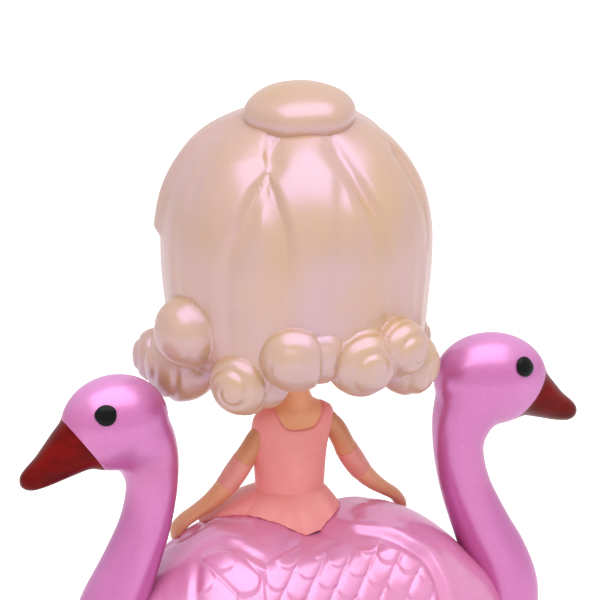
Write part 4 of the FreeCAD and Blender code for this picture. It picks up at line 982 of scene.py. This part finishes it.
def on_face(x, z, lift=0.0):
    """A point of the face at a place across and up from the middle of the head."""
    reach = head_reach + face_rise(x, z) + lift
    ahead = np.sqrt(np.clip(reach ** 2 - x ** 2 - z ** 2, 0, None))
    return np.stack([head_middle[0] + x, head_middle[1] - ahead, head_middle[2] + z], -1)


cheek = Finish("head_vinyl")
bloom = None
for side in (-1, 1):
    spot = (side * 0.0122, (doll_y - 20.6) * 0.001, (waist + 47.0) * 0.001)
    away = cheek.node("ShaderNodeVectorMath", {"operation": "DISTANCE"}, {0: cheek.place, 1: spot}, "Value")
    patch = 1 - cheek.span(away, 0.001, 0.0052)
    bloom = patch if bloom is None else bloom + patch
_, face_colour = cheek.mottled(130, hue(232, 164, 120), hue(240, 176, 134))
pores = cheek.noise(1500, 2)
head_skin = cheek.surface(cheek.tint(bloom * 0.45, face_colour, hue(226, 112, 112)),
                          0.42 + (pores - 0.5) * 0.1, pores, 0.00002, Coat_Weight=0.15, Coat_Roughness=0.3)
head_rings = ball((0, 0, 0), (1, 1, 1), 0, 200, 140)
x, y, z = (head_rings[..., k] * head_reach for k in range(3))
swell = np.where(y < 0, face_rise(x, z), 0.0) * ramp(-y, 2.0, 10.0)
head_rings = head_rings * (head_reach + swell)[..., None] + head_middle
piece("doll_face", skinned(head_rings), head_skin, "turntable", ["doll_head"], crease=60)


def face_patch(middle, half, lift, crown, bend=0.0, rows=10, around=44):
    """A thin domed patch printed on the face."""
    share = np.linspace(0, 1, rows)[:, None]
    turn = full_turn(around)[None]
    x = middle[0] + half[0] * share * np.cos(turn)
    z = middle[1] + half[1] * share * np.sin(turn) + bend * ((x - middle[0]) / half[0]) ** 2
    rings = on_face(x, z, lift + crown * (1 - share ** 2))
    under = on_face(x[-1:], z[-1:], -0.3)
    return skinned(np.concatenate([rings, under]))


def face_stroke(line, thick, lift):
    """A tapered painted stroke along points of the face."""
    line = np.asarray(line, float)
    dense = flow(np.column_stack([np.linspace(0, 1, len(line)), line]), np.linspace(0, 1, 40))
    middle = on_face(dense[:, 0], dense[:, 1], lift)
    taper = thick * np.sin(np.linspace(0.12, math.pi - 0.12, 40)) ** 0.6
    return skinned(tube(np.column_stack([middle, taper, taper]), 14, 60, (0, 1, 0)))


def print_ink(name, dark, light):
    return flecked(name, 500, 3, dark, light, 0.25, 0.08, Coat_Weight=0.5, Coat_Roughness=0.08)


white_ink = print_ink("eye_white", hue(232, 228, 222), hue(248, 246, 242))
iris_ink = print_ink("iris_blue", hue(70, 112, 150), hue(112, 158, 190))
dark_ink = print_ink("lash_brown", hue(48, 30, 26), hue(66, 42, 36))
lip_ink = print_ink("lip_rose", hue(206, 84, 96), hue(220, 106, 114))
brow_ink = print_ink("brow_fawn", hue(160, 122, 84), hue(182, 146, 104))
lash = [(-3.6, -5.6), (-2.0, -3.3), (0.2, -2.55), (2.3, -3.3), (4.3, -4.9)]
whites, irises, darks, brows = [], [], [], []
for side in (-1, 1):
    whites.append(face_patch((side * eye_out, -5.8), (3.5, 3.1), 0.02, 0.35))
    irises.append(face_patch((side * iris_out, iris_up), (2.25, 2.6), 0.22, 0.25))
    darks.append(face_patch((side * iris_out, iris_up), (1.25, 1.5), 0.42, 0.12))
    # a white dot printed on each iris, a painted highlight of the kind doll faces are printed with
    whites.append(face_patch((side * iris_out + 0.75, -4.9), (0.6, 0.65), 0.5, 0.12))
    darks.append(face_stroke([(side * (eye_out + x), z) for x, z in lash], 0.42, 0.2))
    brows.append(face_stroke([(side * 5.4, 0.5), (side * 8.4, 1.5), (side * 12.2, 0.6)], 0.34, 0.05))
lips = [face_patch((0.0, -17.2), (2.5, 0.62), 0.1, 0.45, 0.35),
        face_patch((0.0, -18.0), (1.9, 0.8), 0.1, 0.55, 0.3)]
for name, forms, ink, slot in (
        ("doll_eye_whites", whites, white_ink, "skin"), ("doll_irises", irises, iris_ink, "skin"),
        ("doll_lashes", darks, dark_ink, "eye_black"), ("doll_brows", brows, brow_ink, "skin"),
        ("doll_lips", lips, lip_ink, "skin")):
    piece(name, gathered(forms), ink, "turntable", crease=60)

# Hair: one moulded wig of smooth overlapping locks that fall from the crown to a row of
# fat curls, with a swept fringe in front. It is sprayed ivory pearl with lilac lights.
wig_lift = 55.0
wig_middle = np.array([0.0, doll_y, waist + wig_lift])
head_over_wig = 5.2
swell_share, swell_wide = 0.62, 6.5
wedge_depth, fringe_proud = 0.8, 1.7
spiral_pitch = math.radians(40.0)
wig_outline = np.array([
    # radius, height from the middle
    (0.0, 37.6), (7.8, 36.7), (15.2, 34.0), (21.7, 29.6), (26.2, 24.2), (29.2, 18.4), (30.8, 11.0),
    (30.9, 2.0), (30.2, -7.0), (29.6, -13.0), (28.6, -17.5), (26.6, -20.0), (24.0, -20.6),
    (20.0, -19.5), (15.0, -16.6), (0.0, -13.0)])
wig_climb = np.arctan2(wig_outline[:, 1], wig_outline[:, 0])[::-1]
wig_far = np.hypot(wig_outline[:, 0], wig_outline[:, 1])[::-1]
locks = [
    # places as (angle from the back, height from the waist), depth, width to the left, width to the right
    ([(-47.0, 90.0), (-40.7, 86.8), (-38.0, 84.7), (-40.5, 82.1), (-42.6, 79.4), (-47.0, 72.6),
      (-50.4, 66.3), (-51.8, 54.6), (-51.4, 47.0)], 1.5, 1.2, 3.6),
    ([(-39.0, 86.0), (-38.0, 84.7), (-30.9, 78.8), (-25.5, 72.8), (-23.7, 67.4), (-23.2, 58.3),
      (-22.4, 50.0)], 1.35, 3.4, 1.2),
    ([(12.4, 89.4), (12.6, 87.3), (13.8, 84.2), (17.0, 78.1), (21.2, 71.9), (23.6, 65.0), (24.6, 58.0),
      (25.4, 50.0)], 1.6, 3.4, 1.2),
    ([(59.7, 84.8), (60.4, 80.9), (58.2, 76.1), (55.3, 71.3), (53.0, 64.0)], 1.3, 3.2, 1.2),
    ([(5.5, 83.1), (1.2, 77.4), (-0.9, 70.2), (-4.1, 62.6), (-6.6, 52.8)], 0.4, 1.8, 2.4),
    ([(-82.0, 86.5), (-78.4, 80.0), (-75.0, 74.0), (-70.0, 67.2), (-68.0, 60.0)], 0.45, 2.6, 1.8),
    ([(100.0, 88.0), (97.0, 80.0), (92.0, 72.0), (90.0, 62.0)], 0.9, 1.1, 3.0),
    ([(140.0, 88.0), (146.0, 81.0), (150.0, 74.0), (148.0, 66.0)], 1.0, 2.8, 1.1),
    ([(178.0, 88.5), (186.0, 82.0), (192.0, 75.0), (190.0, 67.0)], 1.0, 1.1, 2.8),
    ([(-120.0, 88.0), (-116.0, 80.0), (-112.0, 72.0), (-112.0, 66.0)], 0.8, 2.8, 1.1)]
curls = [
    # angle from the back, distance, height from the waist, radius, depth of the spiral, its start
    (-77.0, 28.4, 44.2, 8.6, 0.12, 0.0), (-95.0, 27.0, 33.8, 8.8, 0.45, 1.0),
    (-109.5, 31.2, 33.6, 6.6, 0.3, 2.0), (-47.5, 26.3, 34.5, 7.5, 0.45, 2.2),
    (-37.5, 23.2, 33.4, 5.2, 0.1, 0.0), (-20.9, 26.6, 41.8, 8.2, 0.12, 0.5),
    (-8.6, 25.0, 42.0, 7.2, 0.12, 0.5), (11.0, 27.6, 39.8, 8.2, 0.45, 0.3),
    (27.4, 30.8, 42.0, 6.8, 0.42, 1.5), (43.0, 28.2, 35.6, 7.4, 0.3, 3.0),
    (86.0, 25.5, 36.0, 6.6, 0.5, 0.0), (112.0, 27.0, 38.5, 7.4, 0.5, 1.8)]


def wig_way(turn, climb):
    """The way out from the wig's middle, by angle from the back and angle up."""
    return np.stack([-np.sin(turn) * np.cos(climb), np.cos(turn) * np.cos(climb), np.sin(climb)], -1)


def wig_reach(turn, climb):
    """How far the wig's surface is from its middle, by the same two angles."""
    far = flow(np.column_stack([wig_climb, wig_far]), climb)[:, 0]
    base = wig_way(turn, climb) * far[:, None]
    out = np.zeros(len(far))
    swell = np.zeros(len(far))
    for path, depth, left, right in locks:
        rows = np.array(path)
        angle = np.radians(rows[:, 0])
        radius = np.interp(rows[:, 1] - wig_lift, wig_outline[::-1, 1][5:], wig_outline[::-1, 0][5:])
        line = np.stack([-np.sin(angle) * radius, np.cos(angle) * radius, rows[:, 1] - wig_lift], 1)
        away, along, nearest, _ = near(base, line, 120)
        sideways = np.sin(turn - np.arctan2(-nearest[:, 0], nearest[:, 1]))
        width = np.where(sideways < 0, left, right)
        fade = ramp(along, -0.05, 0.14) * (1 - 0.76 * ramp(along, 0.3, 0.9))
        out = np.minimum(out, -depth * fade * hump(away, width))
        if -50 < path[0][0] < 20:
            # the locks at the back are crowned between their grooves
            swell = np.minimum(swell, -swell_share * depth * fade * hump(away, swell_wide))
    out = out + swell
    degrees = np.degrees(turn)
    edges = [np.interp(base[:, 2] + wig_lift, np.array(path)[::-1, 1], np.array(path)[::-1, 0])
             for path, *_ in locks[:2]]
    wedge = ramp(degrees, edges[0] - 1.0, edges[0] + 1.5)
    wedge = wedge * (1 - ramp(degrees, edges[1] - 1.5, edges[1] + 1.0))
    out = out - wedge_depth * wedge * ramp(-base[:, 2], -29.7, -28.4) * (1 - ramp(-base[:, 2], -26.0, 2.0))
    strand = 0.10 * np.sin(turn * 23) + 0.07 * np.sin(turn * 37 + 1.0)
    out = out + strand * ramp(-base[:, 2], -22.0, 4.0)
    front = ramp(-np.cos(turn), 0.10, 0.34)
    out = out + fringe_proud * front * ramp(base[:, 2], 7.2, 9.6) * (1 - ramp(base[:, 2], 26.0, 38.0) * 0.7)
    face_gap = np.hypot(base[:, 0], base[:, 2] + 9.0)
    opening = ramp(-face_gap, -21.2, -19.8) * ramp(-base[:, 2], -8.6, -7.6) * ramp(-np.cos(turn), 0.0, 0.3)
    head_far = np.sqrt(np.clip(head_reach ** 2 - (head_over_wig * np.cos(climb)) ** 2, 0, None))
    head_far = head_far + head_over_wig * np.sin(climb) - 1.2
    return (far + out) * (1 - opening) + np.minimum(far, head_far) * opening


def curl_frame(angle, reach, height):
    """The middle of a curl and its axes: across, up and out of the wig."""
    turn = math.radians(angle)
    spot = np.array([-math.sin(turn) * reach, doll_y + math.cos(turn) * reach, waist + height])
    out = np.array([-math.sin(turn), math.cos(turn), -0.12])
    out /= np.linalg.norm(out)
    across = np.cross([0, 0, 1.0], out)
    across /= np.linalg.norm(across)
    return spot, across, np.cross(out, across), out


def curl_reach(local, radius, depth, start):
    """The radius of a curl by direction, with a spiral groove about its outward axis."""
    tip = np.arccos(np.clip(local[:, 2], -1, 1))
    turn = np.arctan2(local[:, 1], local[:, 0]) + start
    band = tip / spiral_pitch - turn / (2 * math.pi)
    groove = hump(band % 1.0 - 0.5, 0.16)
    fade = ramp(tip, 0.16, 0.34) * (1 - ramp(tip, 1.15, 1.6))
    return radius - depth * groove * fade + 0.25 * depth * (1 - groove) * fade


turn = full_turn(420)
climb = np.linspace(-math.pi / 2 + 0.01, math.pi / 2 - 0.01, 230)
turns, climbs = np.meshgrid(turn, climb)
reach = wig_reach(turns.ravel(), climbs.ravel()).reshape(turns.shape)
wig_rings = wig_middle + reach[..., None] * wig_way(turns, climbs)
forms = [skinned(wig_rings)]
for angle, far, height, radius, depth, start in curls:
    spot, across, up, out = curl_frame(angle, far, height)
    unit = ball((0, 0, 0), (1, 1, 1), 0, 96, 72)
    local = unit.reshape(-1, 3)
    rows = local * curl_reach(local, radius, depth, start)[:, None]
    rows = rows[:, :1] * across + rows[:, 1:2] * up + rows[:, 2:] * out + spot
    forms.append(skinned(rows.reshape(unit.shape)))
wig = melted(forms, grain=0.5, passes=26)
co = np.empty(len(wig.vertices) * 3)
wig.vertices.foreach_get("co", co)
co = co.reshape(-1, 3) * 1000
rel = co - wig_middle
far = np.linalg.norm(rel, axis=1)
want = wig_reach(np.arctan2(-rel[:, 0], rel[:, 1]), np.arcsin(np.clip(rel[:, 2] / far, -1, 1)))
shift = want - far
hold = (1 - ramp(np.abs(shift), 0.5, 1.1))[:, None] * (1 - ramp(-rel[:, 2], 2.0, 9.0))[:, None]
co = co + rel / far[:, None] * shift[:, None] * hold
for angle, curl_far, height, radius, depth, start in curls:
    spot, across, up, out = curl_frame(angle, curl_far, height)
    rel = co - spot
    away = np.linalg.norm(rel, axis=1)
    local = np.stack([rel @ across, rel @ up, rel @ out], 1) / away[:, None]
    shift = curl_reach(local, radius, depth, start) - away
    hold = 1 - ramp(np.abs(shift), 0.5, 1.0)
    co = co + rel / away[:, None] * (shift * hold)[:, None]
wig.vertices.foreach_set("co", (co * 0.001).ravel())
hair_pearl = pearl("hair_pearl", hue(213, 175, 140), hue(207, 170, 124), hue(204, 168, 122),
                   hue(206, 170, 90), hue(214, 182, 255), 0.3, 0.65, 1.9)
placed("doll_wig", wig, hair_pearl, "turntable", ["doll_hair"], crease=70)

# Bun: a flat round bun with a faintly lobed outline, in the same pearl as the wig. It is
# moulded apart and glued on the crown.
bun_half, bun_tall, bun_back, bun_lift = 12.7, 7.05, 2.3, 91.4
up = np.linspace(-math.pi / 2, math.pi / 2, 80)
turn = full_turn(128)
lobe = 1 + 0.016 * np.cos(6 * turn + 0.4) + 0.008 * np.cos(3 * turn)
flat = np.sign(np.sin(up)) * np.abs(np.sin(up)) ** 0.92
bun_rings = np.stack([
    bun_half * np.cos(up)[:, None] * np.cos(turn) * lobe,
    doll_y + bun_back + bun_half * np.cos(up)[:, None] * np.sin(turn) * lobe,
    waist + bun_lift + bun_tall * np.repeat(flat[:, None], 128, 1)], -1)
piece("doll_bun_knot", skinned(bun_rings), hair_pearl, "turntable", ["doll_bun"], crease=70)

# Studio: a white floor and sky, a broad soft lamp overhead, softer ones on both sides and
# below the camera, which stands behind the ballerina's left shoulder and looks a little down.


def in_sight(board):
    """1 for rays that show the background itself: from the camera, mirrored or through something clear."""
    path = board.tree.nodes.new("ShaderNodeLightPath")
    shown = Tap(path.outputs["Is Camera Ray"])
    for ray in ("Is Glossy Ray", "Is Transmission Ray"):
        shown = shown.sum("MAXIMUM", shown, Tap(path.outputs[ray]))
    return shown


floor_half, floor_glow, sky_light = 6.0, 0.68, 0.36
white = Finish("studio_white")
matt = white.node("ShaderNodeBsdfDiffuse", None, {"Color": (0.85, 0.85, 0.85, 1)})
glow = white.node("ShaderNodeEmission", None,
                  {"Color": (1, 1, 1, 1), "Strength": in_sight(white) * floor_glow})
both = white.node("ShaderNodeAddShader", None, {0: matt, 1: glow})
white.node("ShaderNodeOutputMaterial", None, {"Surface": both})
floor_mesh = bpy.data.meshes.new("floor")
corners = [(x * floor_half, y * floor_half, 0) for x, y in ((-1, -1), (1, -1), (1, 1), (-1, 1))]
floor_mesh.from_pydata(corners, [], [(0, 1, 2, 3)])
floor_mesh.materials.append(white.material)
floor = bpy.data.objects.new("floor", floor_mesh)
scene.collection.objects.link(floor)
sky = bpy.data.worlds.new("studio_sky")
sky.use_nodes = True
air = Board(sky.node_tree)
backdrop = air.node("ShaderNodeBackground", None,
                    {"Color": (1, 1, 1, 1), "Strength": sky_light + in_sight(air) * (1 - sky_light)})
air.node("ShaderNodeOutputWorld", None, {"Surface": backdrop})
scene.world = sky


def lamp(name, spot, size, power, mirrored):
    light = bpy.data.lights.new(name, "AREA")
    light.shape = "RECTANGLE"
    light.size, light.size_y = size
    light.energy = power
    thing = bpy.data.objects.new(name, light)
    thing.location = spot
    thing.rotation_euler = (Vector((0, 0, 0.13)) - Vector(spot)).to_track_quat("-Z", "Y").to_euler()
    thing.visible_glossy = mirrored
    scene.collection.objects.link(thing)


lamp("overhead", (0.04, 0.28, 1.06), (1.5, 1.0), 10.2, True)
lamp("camera_side", (0.36, 1.05, 0.24), (0.9, 0.5), 1.7, False)
lamp("left_fill", (0.9, 0.4, 0.45), (0.5, 0.7), 1.1, False)
lamp("right_fill", (-0.9, 0.4, 0.45), (0.5, 0.7), 1.3, False)
lens = bpy.data.cameras.new("photo_camera")
lens.lens = 240.0
lens.sensor_width = 36.0
lens.clip_start = 0.05
lens.clip_end = 40.0
camera = bpy.data.objects.new("photo_camera", lens)
camera.location = viewer * 0.001
camera.rotation_euler = Vector(look).to_track_quat("-Z", "Y").to_euler()
scene.collection.objects.link(camera)
scene.camera = camera
